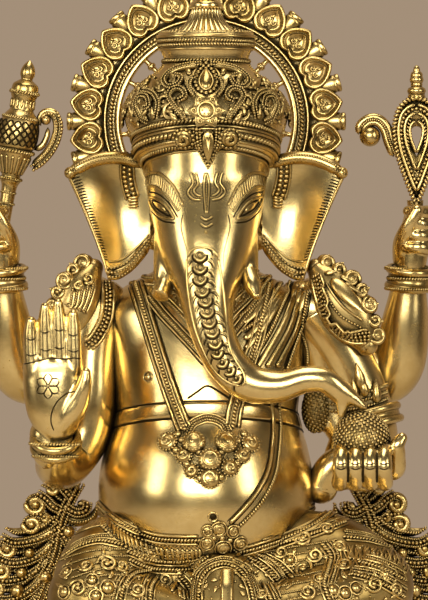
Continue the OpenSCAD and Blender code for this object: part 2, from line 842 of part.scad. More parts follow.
// Ear: columns from the root at the head to the outer edge, each a thin upright loop.
function ear_point(s, v, face) =
    let (
        top = head_h - 17 + 15 * sin(110 * s) - 20 * s * s,
        low = head_h - 17 - ear_h - 18 * sin(120 * s) - 9 * s,
        root = head_w - 5 + 2 * v,
        x = root + s * ear_reach * (0.52 + 0.48 * pow(v, 1.3)),
        dish = 9 * sin(180 * min(1, s * 0.9)) * sin(180 * v) - 13 * s
    ) [x, -6 + dish + face * ear_t / 2 * (1 - 0.35 * s), neck_top + low + (top - low) * v];
module ear_form(side) {
    top = [for (i = [0:5]) concat(ear_point(1.04 * i / 5, 0.985, -0.6), [3.8])];
    low = [for (i = [0:5]) concat(ear_point(1.04 * i / 5, 0.015, -0.6), [3.4])];
    on_side(side) {
        skin([
            for (i = [0:5]) concat(
                [for (j = [0:5]) ear_point(i / 5, j / 5, 1)],
                [for (j = [5:-1:0]) ear_point(i / 5, j / 5, -1)]
            )
        ]);
        limb(top, 5, 6, [0, 1, 0.1]);
        limb(low, 5, 6, [0, 1, 0.1]);
    }
}
module ear(side) {
    color(brass) seated() {
        ear_form(side);
        head_form();
        torso_form();
    }
}
module right_ear() {
    ear(-1);
}
module left_ear() {
    ear(1);
}

// Crown.
diadem_profile = [[-4, 9], [12, 9], [13.5, 5], [9, 2], [7, -4], [5, -10], [-4, -10]];
module diadem_form() {
    skin([
        for (k = [0:17]) let (a = 360 * k / 18) [
            for (p = diadem_profile) [
                (head_w + p[0]) * cos(a),
                crown_y + (47 + p[0]) * sin(a),
                crown_z - 1 + p[1] - 5 * sin(a),
            ]
        ]
    ], true);
}
module diadem() {
    color(pale) seated() {
        diadem_form();
        skull_form();
        crown_form(24, 1.01);
    }
}
module crown_form(sides, grow = 1) {
    translate([0, crown_y, crown_z]) scale([grow, dome_squash * grow, 1]) rotate_extrude($fn = sides) polygon([
        [0, 0], [head_w - 1, 0], [head_w + 3, 6], [dome_r - 1, 14], [dome_r, 18], [dome_r - 3, dome_h * 0.5],
        [dome_r - 11, dome_h * 0.68], [dome_r - 19, dome_h * 0.82], [pot_r - 1, dome_h * 0.93], [pot_r - 4, dome_h],
        [0, dome_h],
    ]);
}
module crown_dome() {
    color(pale) difference() {
        crown_form(160);
        translate([0, crown_y, crown_z + dome_h - 12]) cylinder(r = dowel_r + fit, h = 20);
        translate([0, crown_y + 18, halo_z]) rotate([-90, 0, 0]) cylinder(r = dowel_r + fit, h = 90);
    }
}
module crown_medallion() {
    color(pale) seated() {
        translate([0, crown_y - dome_r * dome_squash + 1.5, crown_z + 19]) rotate([84, 0, 0]) {
            for (k = [0:7]) rotate([0, 0, 45 * k]) translate([9.5, 0, 0]) scale([6, 4, 4.4]) sphere(1, $fn = 5);
            sphere(6.5, $fn = 8);
        }
        crown_form(24, 1.01);
        diadem_form();
    }
}
pot_z = crown_z + dome_h;
module crown_pot() {
    color(pale) squashed_at(pot_z) {
        rotate_extrude() polygon([
            [0, -10], [dowel_r, -10], [dowel_r, 0], [pot_r - 4, 0], [pot_r - 3, 4], [pot_r - 1, 9], [pot_r, pot_h - 6],
            [pot_r, pot_h], [pot_r - 7, pot_h], [pot_r - 9, pot_h - 2.5], [0, pot_h - 2.5],
        ]);
    }
}
module squashed_at(z) {
    translate([0, crown_y, z]) children();
}
bell_z = pot_z + pot_h - 2.5;
module crown_bell() {
    color(brass) squashed_at(bell_z) difference() {
        rotate_extrude() polygon(concat(
            [[0, 0], [pot_r - 9.6, 0]],
            [for (k = [0:8]) [10.5 + (pot_r - 20.5) * pow(1 - k / 8, 1.9), 2 + (bell_h - 2) * k / 8]],
            [[0, bell_h]]
        ));
        for (k = [0:flute_count - 1]) rotate([0, 0, 360 * k / flute_count]) translate([pot_r - 9.2, 0, 4])
            rotate([0, -36, 0]) cylinder(r = 1.1, h = bell_h * 1.6, $fn = 8, center = true);
        translate([0, 0, bell_h - 8]) cylinder(r = dowel_r * 0.7 + fit, h = 10);
    }
}
finial_z = bell_z + bell_h;
module crown_finial() {
    color(brass) squashed_at(finial_z) rotate_extrude() polygon([
        [0, -7], [dowel_r * 0.7, -7], [dowel_r * 0.7, 0], [10, 0], [11.5, 2.5], [10, 5], [6.5, 7], [8.5, 10],
        [12, finial_h * 0.45], [11, finial_h * 0.58], [6, finial_h * 0.7], [5, finial_h * 0.78], [3, finial_h * 0.9], [0, finial_h],
    ]);
}

// Halo wheel behind the head.
module at_halo() {
    translate([0, halo_y, halo_z]) rotate([90, 0, 0]) children();
}
hub_r = 17;
module halo_wheel() {
    color(pale) at_halo() {
        rotate_extrude() polygon([
            [halo_r, -3.5], [halo_r + rim_w + 13, -3.5], [halo_r + rim_w + 13, -0.5], [halo_r + rim_w - 1, -0.5],
            [halo_r + rim_w - 3, 1.5], [halo_r + rim_w - 6, 1.5], [halo_r + rim_w - 8, 4], [halo_r + 3, 4],
            [halo_r + 1, 5.5], [halo_r, 5],
        ]);
        difference() {
            union() {
                translate([0, 0, -3.5]) cylinder(r = hub_r, h = 7);
                for (k = [0:spoke_count - 1]) rotate([0, 0, 360 * (k + 0.5) / spoke_count])
                    translate([hub_r - 3, 0, 0]) rotate([0, 90, 0]) cylinder(r = spoke_r, h = halo_r - hub_r + 5);
            }
            translate([0, 0, -5]) cylinder(r = dowel_r + fit, h = 12);
        }
    }
}
function heart(k, n) =
    let (t = 360 * k / n) [pow(sin(t), 3), -(13 * cos(t) - 5 * cos(2 * t) - 2 * cos(3 * t) - cos(4 * t)) / 16];
module heart_outline(s) {
    polygon([for (k = [0:23]) [leaf_len * 0.4 * s * heart(k, 24)[1] , leaf_len * 0.44 * s * heart(k, 24)[0]]]);
}
leaf_mid = halo_r + rim_w + leaf_len * 0.38;
module halo_leaves() {
    color(pale) at_halo() for (k = [0:leaf_count - 1]) rotate([0, 0, 90 + 360 * k / leaf_count])
        translate([leaf_mid, 0, -0.5]) {
            linear_extrude(3) heart_outline(1);
            translate([0, 0, 3]) linear_extrude(2) difference() {
                heart_outline(1);
                heart_outline(0.74);
            }
            translate([0, 0, 3]) cylinder(r = leaf_len * 0.11, h = 2);
        }
}
module halo_buds() {
    r = halo_r + rim_w + 17;
    color(pale) at_halo() for (k = [0:leaf_count - 1]) rotate([0, 0, 90 + 360 * (k + 0.5) / leaf_count])
        translate([r, 0, -0.5]) linear_extrude(3) {
            polygon([[-7, -0.6], [-7, 0.6], [-4, 1.2], [2, 3], [5, 2], [8, 0], [5, -2], [2, -3], [-4, -1.2]]);
        }
}
module halo_stud() {
    color(brass) at_halo() {
        translate([0, 0, -13]) cylinder(r = dowel_r, h = 53);
    }
    color(brass) difference() {
        at_halo() translate([0, 0, 3.5]) cylinder(r = hub_r - 8, h = 32);
        crown_form(160);
    }
}
module halo_nut() {
    color(steel) at_halo() difference() {
        translate([0, 0, -9.5]) cylinder(r = 10, h = 6, $fn = 6);
        translate([0, 0, -10]) cylinder(r = dowel_r + 0.1, h = 7);
    }
}

// Openwork scrolls beside the hips.
// A ribbon follows a path of points with a width that tapers; a curl is a ribbon wound in to a boss.
function side_of(path, k) =
    let (d = path[min(k + 1, len(path) - 1)] - path[max(k - 1, 0)]) [-d[1], d[0]] / norm(d);
module ribbon(path, w0, w1) {
    n = len(path) - 1;
    edge = [for (k = [0:n]) side_of(path, k) * (w0 + (w1 - w0) * k / n) / 2];
    polygon(concat([for (k = [0:n]) path[k] + edge[k]], [for (k = [n:-1:0]) path[k] - edge[k]]));
}
module curl(at, r, from, turns) {
    spiral = [
        for (k = [0:20]) let (t = k / 20, a = from + 360 * turns * t, q = r * (1 - 0.72 * t)) at + q * [cos(a), sin(a)]
    ];
    ribbon(spiral, 7, 4);
}
stem_spots = [[9, 1.2], [12, 34], [-2, 74], [-24, 102], [-36, 128], [-42, 152]];
scroll_t = 10;
scroll_y = 38;
curls = [
    [[-13, 113], 11, -60, 1.1], [[6, 98], 14, 200, -1.1], [[16, 76], 16, 190, -1.1], [[-33, 91], 11, 60, 1.1],
    [[28, 44], 19, 170, -1.15], [[-12, 46], 16, 20, 1.1],
];
module side_scroll(side) {
    color(pale) on_side(side) translate([side > 0 ? 134 : 119, scroll_y, seat_z]) rotate([90, 0, 0]) {
        linear_extrude(scroll_t) ribbon([for (k = [0:15]) along(stem_spots, k / 3)], 13, 7);
        for (c = curls) {
            linear_extrude(scroll_t) curl(c[0], c[1], c[2], c[3]);
            translate([c[0][0], c[0][1], -1]) cylinder(r = c[1] * 0.4, h = scroll_t + 2);
        }
    }
}
module right_side_scroll() {
    side_scroll(-1);
}
module left_side_scroll() {
    side_scroll(1);
}

plinth();
lotus_seat();
base_bolts();
lap();
right_foot();
left_foot();
apron();
torso();
waist_belt();
belt_flower();
chest_band();
right_garland_strap();
left_garland_strap();
pendant();
sacred_thread();
shawl_pleats();
neck_collar();
right_shoulder_plate();
left_shoulder_plate();
front_right_arm();
front_left_arm();
rear_right_arm();
rear_left_arm();
front_right_hand();
front_left_hand();
rear_right_hand();
rear_left_hand();
sweet();
mace();
axe_blade();
noose();
front_right_bracelet();
front_left_bracelet();
rear_right_bracelet();
rear_left_bracelet();
front_left_armlet();
head();
right_tusk();
left_tusk();
right_ear();
left_ear();
diadem();
crown_dome();
crown_medallion();
crown_pot();
crown_bell();
crown_finial();
halo_wheel();
halo_leaves();
halo_buds();
halo_stud();
halo_nut();
right_side_scroll();
left_side_scroll();
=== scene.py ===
import math
import random

import bmesh
import bpy
from mathutils import Matrix, Vector
from mathutils.bvhtree import BVHTree


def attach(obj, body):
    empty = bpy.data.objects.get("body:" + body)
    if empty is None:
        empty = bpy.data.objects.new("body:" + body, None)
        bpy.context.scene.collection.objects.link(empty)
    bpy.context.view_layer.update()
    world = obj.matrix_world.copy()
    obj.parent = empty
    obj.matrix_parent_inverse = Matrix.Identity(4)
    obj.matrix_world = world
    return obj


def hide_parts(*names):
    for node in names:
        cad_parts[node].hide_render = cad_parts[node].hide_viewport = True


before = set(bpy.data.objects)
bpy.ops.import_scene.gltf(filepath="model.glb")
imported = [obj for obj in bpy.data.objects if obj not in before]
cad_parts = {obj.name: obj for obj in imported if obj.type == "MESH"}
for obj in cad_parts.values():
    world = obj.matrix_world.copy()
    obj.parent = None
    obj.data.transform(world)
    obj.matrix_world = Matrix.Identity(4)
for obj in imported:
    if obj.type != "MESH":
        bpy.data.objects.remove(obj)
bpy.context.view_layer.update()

random.seed(7)
UP = Vector((0, 0, 1))
RIGHT = Vector((1, 0, 0))
BACK = Vector((0, 1, 0))
FACING = Vector((0, -1, 0))
MM = 0.001

# The view: the photograph's frame in pixels, and the millimetres to a pixel at the figure's middle.
PHOTO_WIDE, PHOTO_TALL = 428, 600
PIXEL = 0.7
TILT = math.radians(3)
LOOK = Vector((5.6, -40, 329))
FAR = 1900
AHEAD = Vector((0, math.cos(TILT), -math.sin(TILT)))
RISE = Vector((0, math.sin(TILT), math.cos(TILT)))
EYE = LOOK - AHEAD * FAR


def sight(px, py):
    """The direction from the eye through a point of the photograph."""
    across = RIGHT * (px - PHOTO_WIDE / 2) * PIXEL
    return (AHEAD * FAR + across + RISE * (PHOTO_TALL / 2 - py) * PIXEL).normalized()


def on_plane(px, py, y):
    """The place where the sight line of a photograph point meets an upright plane across the figure."""
    d = sight(px, py)
    return EYE + d * ((y - EYE.y) / d.y)


# Finishes.
class Val:
    """A shader value; sums and products of values add Math nodes."""

    def __init__(self, finish, socket):
        self.finish = finish
        self.socket = socket

    def math(self, how, a, b):
        return self.finish.node("Math", {"operation": how}, {0: a, 1: b})[0]

    def __add__(self, other):
        return self.math("ADD", self, other)

    def __mul__(self, other):
        return self.math("MULTIPLY", self, other)

    def __sub__(self, other):
        return self.math("SUBTRACT", self, other)

    def __rsub__(self, other):
        return self.math("SUBTRACT", other, self)

    __radd__ = __add__


class Finish:
    """A material, or the world, built up from shader nodes."""

    def __init__(self, name, world=None):
        self.material = world or bpy.data.materials.new(name)
        self.material.use_nodes = True
        self.tree = self.material.node_tree
        self.shader = self.tree.nodes["Background" if world else "Principled BSDF"]

    def node(self, kind, settings, sockets):
        made = self.tree.nodes.new("ShaderNode" + kind)
        for key, value in settings.items():
            if key == "stops":
                ramp = made.color_ramp.elements
                while len(ramp) < len(value):
                    ramp.new(0.5)
                for stop, (place, colour) in zip(ramp, value):
                    stop.position = place
                    stop.color = colour if len(colour) == 4 else (*colour, 1)
            else:
                setattr(made, key, value)
        self.fill(made, sockets)
        return [Val(self, s) for s in made.outputs]

    def fill(self, made, sockets):
        for key, value in sockets.items():
            if isinstance(value, Val):
                self.tree.links.new(value.socket, made.inputs[key])
            else:
                made.inputs[key].default_value = value

    def shade(self, **sockets):
        self.fill(self.shader, {k.replace("_", " "): v for k, v in sockets.items()})
        return self.material


def brass(name, bright, deep, dark, reach, patina_and_shade_band, rough, stain):
    """Cast brass: deep and bright gold in broad random patches with stains; an ambient-occlusion mask darkens
    recesses and gaps between parts, partly patina and partly painted shade.
    """
    f = Finish(name)
    place = f.node("TexCoord", {}, {})[3]
    cloud = f.node("TexNoise", {}, {"Vector": place, "Scale": 38.0, "Detail": 4.0, "Roughness": 0.6})[0]
    fine = f.node("TexNoise", {}, {"Vector": place, "Scale": 420.0, "Detail": 3.0, "Roughness": 0.65})[0]
    stretch = f.node("Mapping", {}, {"Vector": place, "Scale": (90.0, 700.0, 700.0)})[0]
    brushed = f.node("TexNoise", {}, {"Vector": stretch, "Scale": 1.0, "Detail": 2.0})[0]
    # Ambient occlusion as colour: where nearby surfaces close in, the colour goes to the dark tone and gets
    # rougher; partly patina in the hollows, partly painted shade.
    ao_shade = f.node("AmbientOcclusion", {"samples": 6}, {"Distance": reach})[1]
    open_part = ao_shade + (fine - 0.5) * 0.22
    patina_and_shade_mask = f.node("ValToRGB", {"stops": [(patina_and_shade_band[0], (0, 0, 0)), (patina_and_shade_band[1], (1, 1, 1))]}, {0: open_part})[0]
    tone = f.node("ValToRGB", {"stops": [(0.32, deep), (0.62, bright)]}, {0: cloud})[0]
    grime = f.node("ValToRGB", {"stops": [(0.52, (1, 1, 1)), (0.74, stain)]},
                   {0: cloud * 0.55 + fine * 0.45})[0]
    open_tone = f.node("Mix", {"data_type": "RGBA", "blend_type": "MULTIPLY"}, {0: 1.0, 6: tone, 7: grime})[2]
    colour = f.node("Mix", {"data_type": "RGBA"}, {0: patina_and_shade_mask, 6: (*dark, 1), 7: open_tone})[2]
    gloss = rough + (1 - patina_and_shade_mask) * 0.34 + (fine - 0.5) * 0.1 + (cloud - 0.5) * 0.08
    bump = f.node("Bump", {}, {"Strength": 0.10, "Distance": 0.0004, "Height": fine * 0.6 + brushed * 0.4})[0]
    return f.shade(Base_Color=colour, Roughness=gloss, Metallic=1.0, Normal=bump)


# Each finish: bright and deep tone, the dark tone of patina and painted shade, occlusion reach, mask band for
# that darkening, roughness and stain colour.
POLISHED = brass("polished brass", (0.83, 0.635, 0.27), (0.67, 0.475, 0.17), (0.030, 0.018, 0.005), 0.008,
                 (0.22, 0.64), 0.25, (0.84, 0.76, 0.58))
CHASED = brass("chased brass", (0.76, 0.55, 0.21), (0.50, 0.34, 0.10), (0.010, 0.007, 0.003), 0.007,
               (0.38, 0.88), 0.28, (0.66, 0.55, 0.38))
# A darker copy of the brass: the tone of the lap and the apron, and painted shade on the armlet drop, which
# sits in shadow.
ANTIQUE_AND_SHADE = brass("antique brass and painted shade", (0.50, 0.35, 0.12), (0.28, 0.185, 0.05), (0.009, 0.006, 0.002), 0.009,
                (0.38, 0.92), 0.34, (0.56, 0.45, 0.28))
# Near-black brass for dark tubes laid along cut lines, creases and gaps that are not modelled as grooves:
# partly patina, partly painted shade.
GROOVE_AND_SHADE = brass("dark groove and painted shade", (0.05, 0.033, 0.012), (0.03, 0.02, 0.008), (0.008, 0.006, 0.002), 0.004,
               (0.2, 0.8), 0.5, (0.7, 0.6, 0.5))
STEEL = brass("grey steel", (0.55, 0.55, 0.54), (0.42, 0.42, 0.42), (0.06, 0.06, 0.06), 0.004,
              (0.2, 0.7), 0.32, (0.8, 0.8, 0.8))


# Curves and shells, all in millimetres until a piece is finished.
WELD = 1e-4


def cubic(a, b, c, d, t):
    """A place between b and c on a smooth curve that comes from a and goes on to d."""
    out = []
    for p, q, r, s in zip(a, b, c, d):
        bend = (2 * p - 5 * q + 4 * r - s) * t * t
        twist = (3 * q - p - 3 * r + s) * t ** 3
        out.append(0.5 * (2 * q + (r - p) * t + bend + twist))
    return tuple(out)


def along(rows, u):
    """The row at a place counted in rows, with a smooth curve through them."""
    i = max(0, min(int(u), len(rows) - 2))
    return cubic(rows[max(i - 1, 0)], rows[i], rows[i + 1], rows[min(i + 2, len(rows) - 1)], u - i)


def smooth(rows, n):
    return [along(rows, k * (len(rows) - 1) / n) for k in range(n + 1)]


def at_height(rows, z):
    """The row at a height, where each row begins with its own height."""
    outside = 0 if z < rows[0][0] else len(rows) - 2
    i = next((k for k in range(len(rows) - 1) if rows[k][0] <= z <= rows[k + 1][0]), outside)
    t = min(1, max(0, (z - rows[i][0]) / (rows[i + 1][0] - rows[i][0])))
    return along(rows, i + t * 0.99999)


def shell(bm, nu, nv, place, caps=False):
    """A grid laid over a surface given by two fractions, with its meeting edges joined."""
    made = bmesh.ops.create_grid(bm, x_segments=nu, y_segments=nv, size=0.5)["verts"]
    for v in made:
        v.co = place(v.co.x + 0.5, v.co.y + 0.5)
    bmesh.ops.remove_doubles(bm, verts=made, dist=WELD)
    if caps:
        rim = list({e for v in made if v.is_valid for e in v.link_edges if e.is_boundary})
        bmesh.ops.holes_fill(bm, edges=rim, sides=0)


def lathe(bm, outline, steps, at, squash=1.0, n=0):
    """A turned form: an outline of radius and height spun round an upright axis."""
    outline = smooth(outline, n) if n else outline
    verts = [bm.verts.new((max(r, 0.0), 0, z)) for r, z in outline]
    edges = [bm.edges.new(pair) for pair in zip(verts, verts[1:])]
    bmesh.ops.spin(bm, geom=verts + edges, cent=(0, 0, 0), axis=UP, angle=math.tau, steps=steps,
                   use_merge=True)
    mine = list({v for f in bm.faces for v in f.verts})
    bmesh.ops.remove_doubles(bm, verts=mine, dist=WELD)
    for v in bm.verts:
        v.co = (v.co.x + at[0], v.co.y * squash + at[1], v.co.z + at[2])


def limb(bm, rows, sides, steps, ref, at=(0, 0, 0), side=1):
    """A round limb through rows of centre and one or two radii."""
    pts = smooth(rows, steps)
    ref = Vector(ref)
    rings = []
    for k, p in enumerate(pts):
        t = (Vector(pts[min(k + 1, steps)][:3]) - Vector(pts[max(k - 1, 0)][:3])).normalized()
        across = ref.cross(t).normalized()
        rings.append((Vector(p[:3]), across * p[3], t.cross(across) * (p[4] if len(p) > 4 else p[3])))

    def place(u, v):
        c, a, b = rings[round(v * steps)]
        turn = u * math.tau
        q = c + a * math.cos(turn) + b * math.sin(turn)
        return ((q.x + at[0]) * side, q.y + at[1], q.z + at[2])
    shell(bm, sides, steps, place, caps=True)


def carried(node):
    """A working copy of a CAD solid, with its loose triangles joined."""
    bm = bmesh.new()
    bm.from_mesh(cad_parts[node].data)
    bmesh.ops.scale(bm, vec=(1 / MM, 1 / MM, 1 / MM), verts=bm.verts)
    bmesh.ops.remove_doubles(bm, verts=bm.verts, dist=0.002)
    return bm


def melted(bm, voxel, rounds):
    """Overlapping forms run together into one skin and softened."""
    bmesh.ops.recalc_face_normals(bm, faces=bm.faces)
    mesh = bpy.data.meshes.new("melt")
    bm.to_mesh(mesh)
    bm.free()
    ob = bpy.data.objects.new("melt", mesh)
    bpy.context.scene.collection.objects.link(ob)
    ob.modifiers.new("run", "REMESH").mode = "VOXEL"
    ob.modifiers["run"].voxel_size = voxel
    soft = ob.modifiers.new("soften", "SMOOTH")
    soft.factor = 0.5
    soft.iterations = rounds
    done = bpy.data.meshes.new_from_object(ob.evaluated_get(bpy.context.evaluated_depsgraph_get()))
    bpy.data.objects.remove(ob)
    out = bmesh.new()
    out.from_mesh(done)
    bpy.data.meshes.remove(done)
    bpy.data.meshes.remove(mesh)
    return out


def skin_of(*forms):
    """A surface that sight lines can be tried on, from one or more forms."""
    verts, faces = [], []
    for bm in forms:
        bm.verts.index_update()
        start = len(verts)
        verts += [v.co.copy() for v in bm.verts]
        faces += [[start + v.index for v in f.verts] for f in bm.faces]
    return BVHTree.FromPolygons(verts, faces)


def piece(name, bm, finish, nodes=(), sharp=None):
    """Turns a working form into a finished piece of the idol, in metres, riding on its one body."""
    bmesh.ops.recalc_face_normals(bm, faces=bm.faces)
    bmesh.ops.scale(bm, vec=(MM, MM, MM), verts=bm.verts)
    mesh = bpy.data.meshes.new(name)
    bm.to_mesh(mesh)
    bm.free()
    mesh.shade_smooth()
    if sharp:
        mesh.set_sharp_from_angle(angle=math.radians(sharp))
    mesh.materials.append(finish)
    ob = bpy.data.objects.new("finished_" + name.replace(" ", "_"), mesh)
    bpy.context.scene.collection.objects.link(ob)
    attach(ob, "root")
    if nodes:
        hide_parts(*nodes)


# Lines on a surface are lists of place and outward normal. After a jump longer than JUMP a line has left
# its form. A girdle is tried in ROUND_STEPS steps from OUTSIDE the figure.
JUMP = 9
ROUND_STEPS = 160
OUTSIDE = 260


def spot(px, py, skin):
    """Where the sight line of a photograph point meets a skin, with the normal there."""
    d = sight(px, py)
    hit, normal, _, _ = skin.ray_cast(EYE, d)
    if hit is None:
        return None, None
    return hit, (-normal if normal.dot(d) > 0 else normal)


def traced(points, skin, lift=0.0, fine=8):
    """Photograph points joined and laid on a skin; of a broken line, the longest stretch is kept."""
    runs = [[]]
    for q in smooth(points, fine * (len(points) - 1)):
        hit, normal = spot(q[0], q[1], skin)
        if hit is None or (runs[-1] and (hit - runs[-1][-1][0]).length > JUMP):
            runs.append([])
        if hit is not None:
            runs[-1].append((hit + normal * lift, normal))
    return max(runs, key=len)


def even(line, step):
    """The same line with places at equal steps."""
    if len(line) < 2:
        return line
    runs = [0.0]
    for (a, _), (b, _) in zip(line, line[1:]):
        runs.append(runs[-1] + (b - a).length)
    count = max(2, round(runs[-1] / step))
    out, i = [], 0
    for k in range(count + 1):
        want = runs[-1] * k / count
        while i < len(runs) - 2 and runs[i + 1] < want:
            i += 1
        t = (want - runs[i]) / max(runs[i + 1] - runs[i], 1e-9)
        out.append((line[i][0].lerp(line[i + 1][0], t), line[i][1].lerp(line[i + 1][1], t).normalized()))
    return out


def framed(line, loop=False):
    """Place, tangent, normal and side at each point of a line."""
    last = len(line) - 1
    out = []
    for k, (p, n) in enumerate(line):
        a = line[k - 1 if k > 0 else (last - 1 if loop else 0)][0]
        b = line[k + 1 if k < last else (1 if loop else last)][0]
        t = (b - a).normalized() if (b - a).length > 1e-9 else RIGHT
        s = n.cross(t).normalized() if n.cross(t).length > 1e-6 else RIGHT
        out.append((p, t, t.cross(s), s))
    return out


def shifted(line, off, lift=0.0):
    """The line moved sideways and off the surface."""
    return [(p + s * off + n * lift, n) for p, t, n, s in framed(line)]


class Work:
    """Raised ornament gathered into one piece: wires, ropes, grains, bosses and leaves."""

    ROOM = 2500

    def __init__(self):
        self.full = []
        self.open = bmesh.new()

    @property
    def bm(self):
        """The form being added to; a new one is begun before it grows slow to work on."""
        if len(self.open.verts) > self.ROOM:
            self.full.append(self.open)
            self.open = bmesh.new()
        return self.open

    def joined(self):
        whole = bmesh.new()
        for part in self.full + [self.open]:
            mesh = bpy.data.meshes.new("part")
            part.to_mesh(mesh)
            part.free()
            whole.from_mesh(mesh)
            bpy.data.meshes.remove(mesh)
        self.full = []
        self.open = whole
        return whole

    def grain(self, at, a, b, c, fine=1):
        m = Matrix((a, b, c)).transposed().to_4x4()
        m.translation = at
        return bmesh.ops.create_icosphere(self.bm, subdivisions=fine, radius=1.0, matrix=m)["verts"]

    def beads(self, line, r, gap=2.1, loop=False):
        line = even(line, r * gap)
        for p, t, n, s in framed(line[:-1] if loop else line):
            self.grain(p, t * r, s * r, n * r * 0.8)

    def rope(self, line, r, lean=1, loop=False):
        line = even(line, r * 1.25)
        for p, t, n, s in framed(line[:-1] if loop else line):
            a = (t * 0.75 + s * lean).normalized()
            self.grain(p, a * r * 1.2, n.cross(a) * r * 0.62, n * r * 0.85)

    def wire(self, line, r, sides=6, high=1.0, loop=False, taper=0.0):
        line = even(line, max(0.9, r * 0.9))
        m = len(line) - 1
        if m < 2:
            return
        rows = framed(line, loop)

        def place(u, v):
            p, t, n, s = rows[round(v * m)]
            w = 1.0 if loop else min(1.0, math.sqrt(max(0.0, min(v, 1 - v) * m / 1.6))) * (1 - taper * v)
            turn = u * math.tau
            return p + (s * math.cos(turn) + n * math.sin(turn) * high) * r * w
        shell(self.bm, sides, m, place)

    def beside(self, line, off, r, lift=0.0):
        """A wire on each side of a line."""
        for side in (off, -off):
            self.wire(shifted(line, side, lift), r)

    def strap(self, line, wide, high):
        """A flat band with rounded edges lying on the surface."""
        line = even(line, 1.6)
        m = len(line) - 1
        rows = framed(line)

        def place(u, v):
            p, t, n, s = rows[round(v * m)]
            c, d = math.cos(u * math.tau), math.sin(u * math.tau)
            w = 0.0 if v in (0.0, 1.0) else 1.0
            c, d = math.copysign(abs(c) ** 0.6, c), math.copysign(abs(d) ** 0.6, d)
            return p + (s * c * wide / 2 + n * d * high) * w
        shell(self.bm, 10, m, place)

    def boss(self, at, n, r, high=0.6, ring=0.0):
        """A low dome, meshed finer the larger it is."""
        a = n.orthogonal().normalized()
        b = n.cross(a)
        self.grain(at, a * r, b * r, n * r * high, 1 + (r > 1.6) + (r > 3.4))
        if ring:
            self.hoop(at, n, r + ring * 1.5, ring)

    def hoop(self, at, n, radius, r, beaded=False):
        a = n.orthogonal().normalized()
        b = n.cross(a)
        turns = [math.tau * k / 24 for k in range(25)]
        loop = [(at + (a * math.cos(t) + b * math.sin(t)) * radius, n) for t in turns]
        if beaded:
            self.beads(loop, r, loop=True)
        else:
            self.wire(loop, r, loop=True)

    def curl(self, at, n, up, radius, turns, r, start=0.0, hand=1, eye=0.34):
        """A spiral wire wound in to a boss."""
        a = (up - n * up.dot(n)).normalized()
        b = n.cross(a)
        line = []
        for k in range(int(26 * turns) + 1):
            f = k / (26 * turns)
            t = start + hand * math.tau * turns * f
            q = radius * (1 - (1 - eye) * f)
            line.append((at + (a * math.cos(t) + b * math.sin(t)) * q, n))
        self.wire(line, r, taper=-0.15)
        self.boss(at, n, radius * eye * 0.95, 0.8)

    def leaf(self, at, ahead, n, long, wide, high, fine=2):
        """A pointed leaf, fullest near its root."""
        s = n.cross(ahead).normalized()
        for v in self.grain(Vector(), RIGHT, BACK, UP, fine):
            x, y, z = v.co
            f = (x + 1) / 2
            w = 1 - 0.9 * f ** 1.8
            v.co = at + ahead * long * f + s * y * wide / 2 * w * 1.12 + n * z * high * w

    def petal(self, p, q, skin, wide, high, lift=0.0, fine=2):
        """A leaf from one photograph point to another."""
        (a, n), (b, _) = spot(*p, skin), spot(*q, skin)
        if a and b and 0.1 < (b - a).length < 2.4 * math.dist(p, q):
            ahead = (b - a) - n * (b - a).dot(n)
            self.leaf(a + n * lift, ahead.normalized(), n, (b - a).length, wide, high, fine)

    def knob(self, px, py, skin, r, high=0.6, ring=0.0):
        """A boss at a photograph point."""
        at, n = spot(px, py, skin)
        if at:
            self.boss(at, n, r, high, ring)

    def whorl(self, px, py, skin, radius, turns, r, start, hand, eye):
        """A curl at a photograph point."""
        at, n = spot(px, py, skin)
        if at:
            self.curl(at + n * r * 0.3, n, UP, radius, turns, r, math.radians(start), hand, eye)

    def turned(self, y):
        """The same work again, half a turn round an upright axis."""
        bm = self.joined()
        copy = bmesh.ops.duplicate(bm, geom=bm.verts[:] + bm.edges[:] + bm.faces[:])["geom"]
        for v in copy:
            if isinstance(v, bmesh.types.BMVert):
                v.co = (-v.co.x, 2 * y - v.co.y, v.co.z)

    def done(self, name, finish, nodes=()):
        piece(name, self.joined(), finish, nodes)


def girdle(skin, cx, cy, height, start=0.0, sweep=math.tau):
    """A line round an upright axis, its height given by the turn, laid on a skin from outside."""
    out = []
    for k in range(ROUND_STEPS + 1):
        t = start + sweep * k / ROUND_STEPS
        ray = Vector((math.cos(t), math.sin(t), 0))
        hit, normal, _, _ = skin.ray_cast(Vector((cx, cy, height(t))) + ray * OUTSIDE, -ray)
        if hit is not None:
            out.append((hit, -normal if normal.dot(ray) < 0 else normal))
    return out


def front(t):
    """How far a turn faces the front, from -1 to 1."""
    return -math.sin(t)


# Body forms.
SEAT = 88
NECK = 352
CROWN = 442
CROWN_Y = -14
SQUASH = 0.84
TORSO = [(12, 59, 54, 58, 0), (58, 73, 74, 66, 0), (84, 76.5, 83, 67.5, 0), (110, 77, 85, 68, 0),
         (134, 72.5, 78, 66, 0), (156, 66, 65.5, 61, 0), (172, 67, 62.5, 59.5, 0), (190, 69, 58.5, 58, 0),
         (214, 71, 51, 54, 0), (234, 74, 44, 46, 2), (249, 57.5, 37, 40, 3), (264, 31, 29, 33, 4)]
SKULL = [(0, 31, 29, 33, 4), (16, 35.5, 42, 42, -4), (36, 39.5, 49, 47, -10), (56, 42.5, 50, 48, -12),
         (74, 44.5, 48, 46, -14), (90, 44.5, 48, 46, -14)]


def sections(rows, foot):
    """A skin through rows of height, half width, front and back reach and centre, standing on a foot."""
    low, high = rows[0][0], rows[-1][0]

    def place(u, v):
        z = low + (high - low) * v
        _, wide, ahead, behind, centre = at_height(rows, z)
        s = math.sin(u * math.tau)
        return wide * math.cos(u * math.tau), centre + (behind if s > 0 else ahead) * s, foot + z
    return place


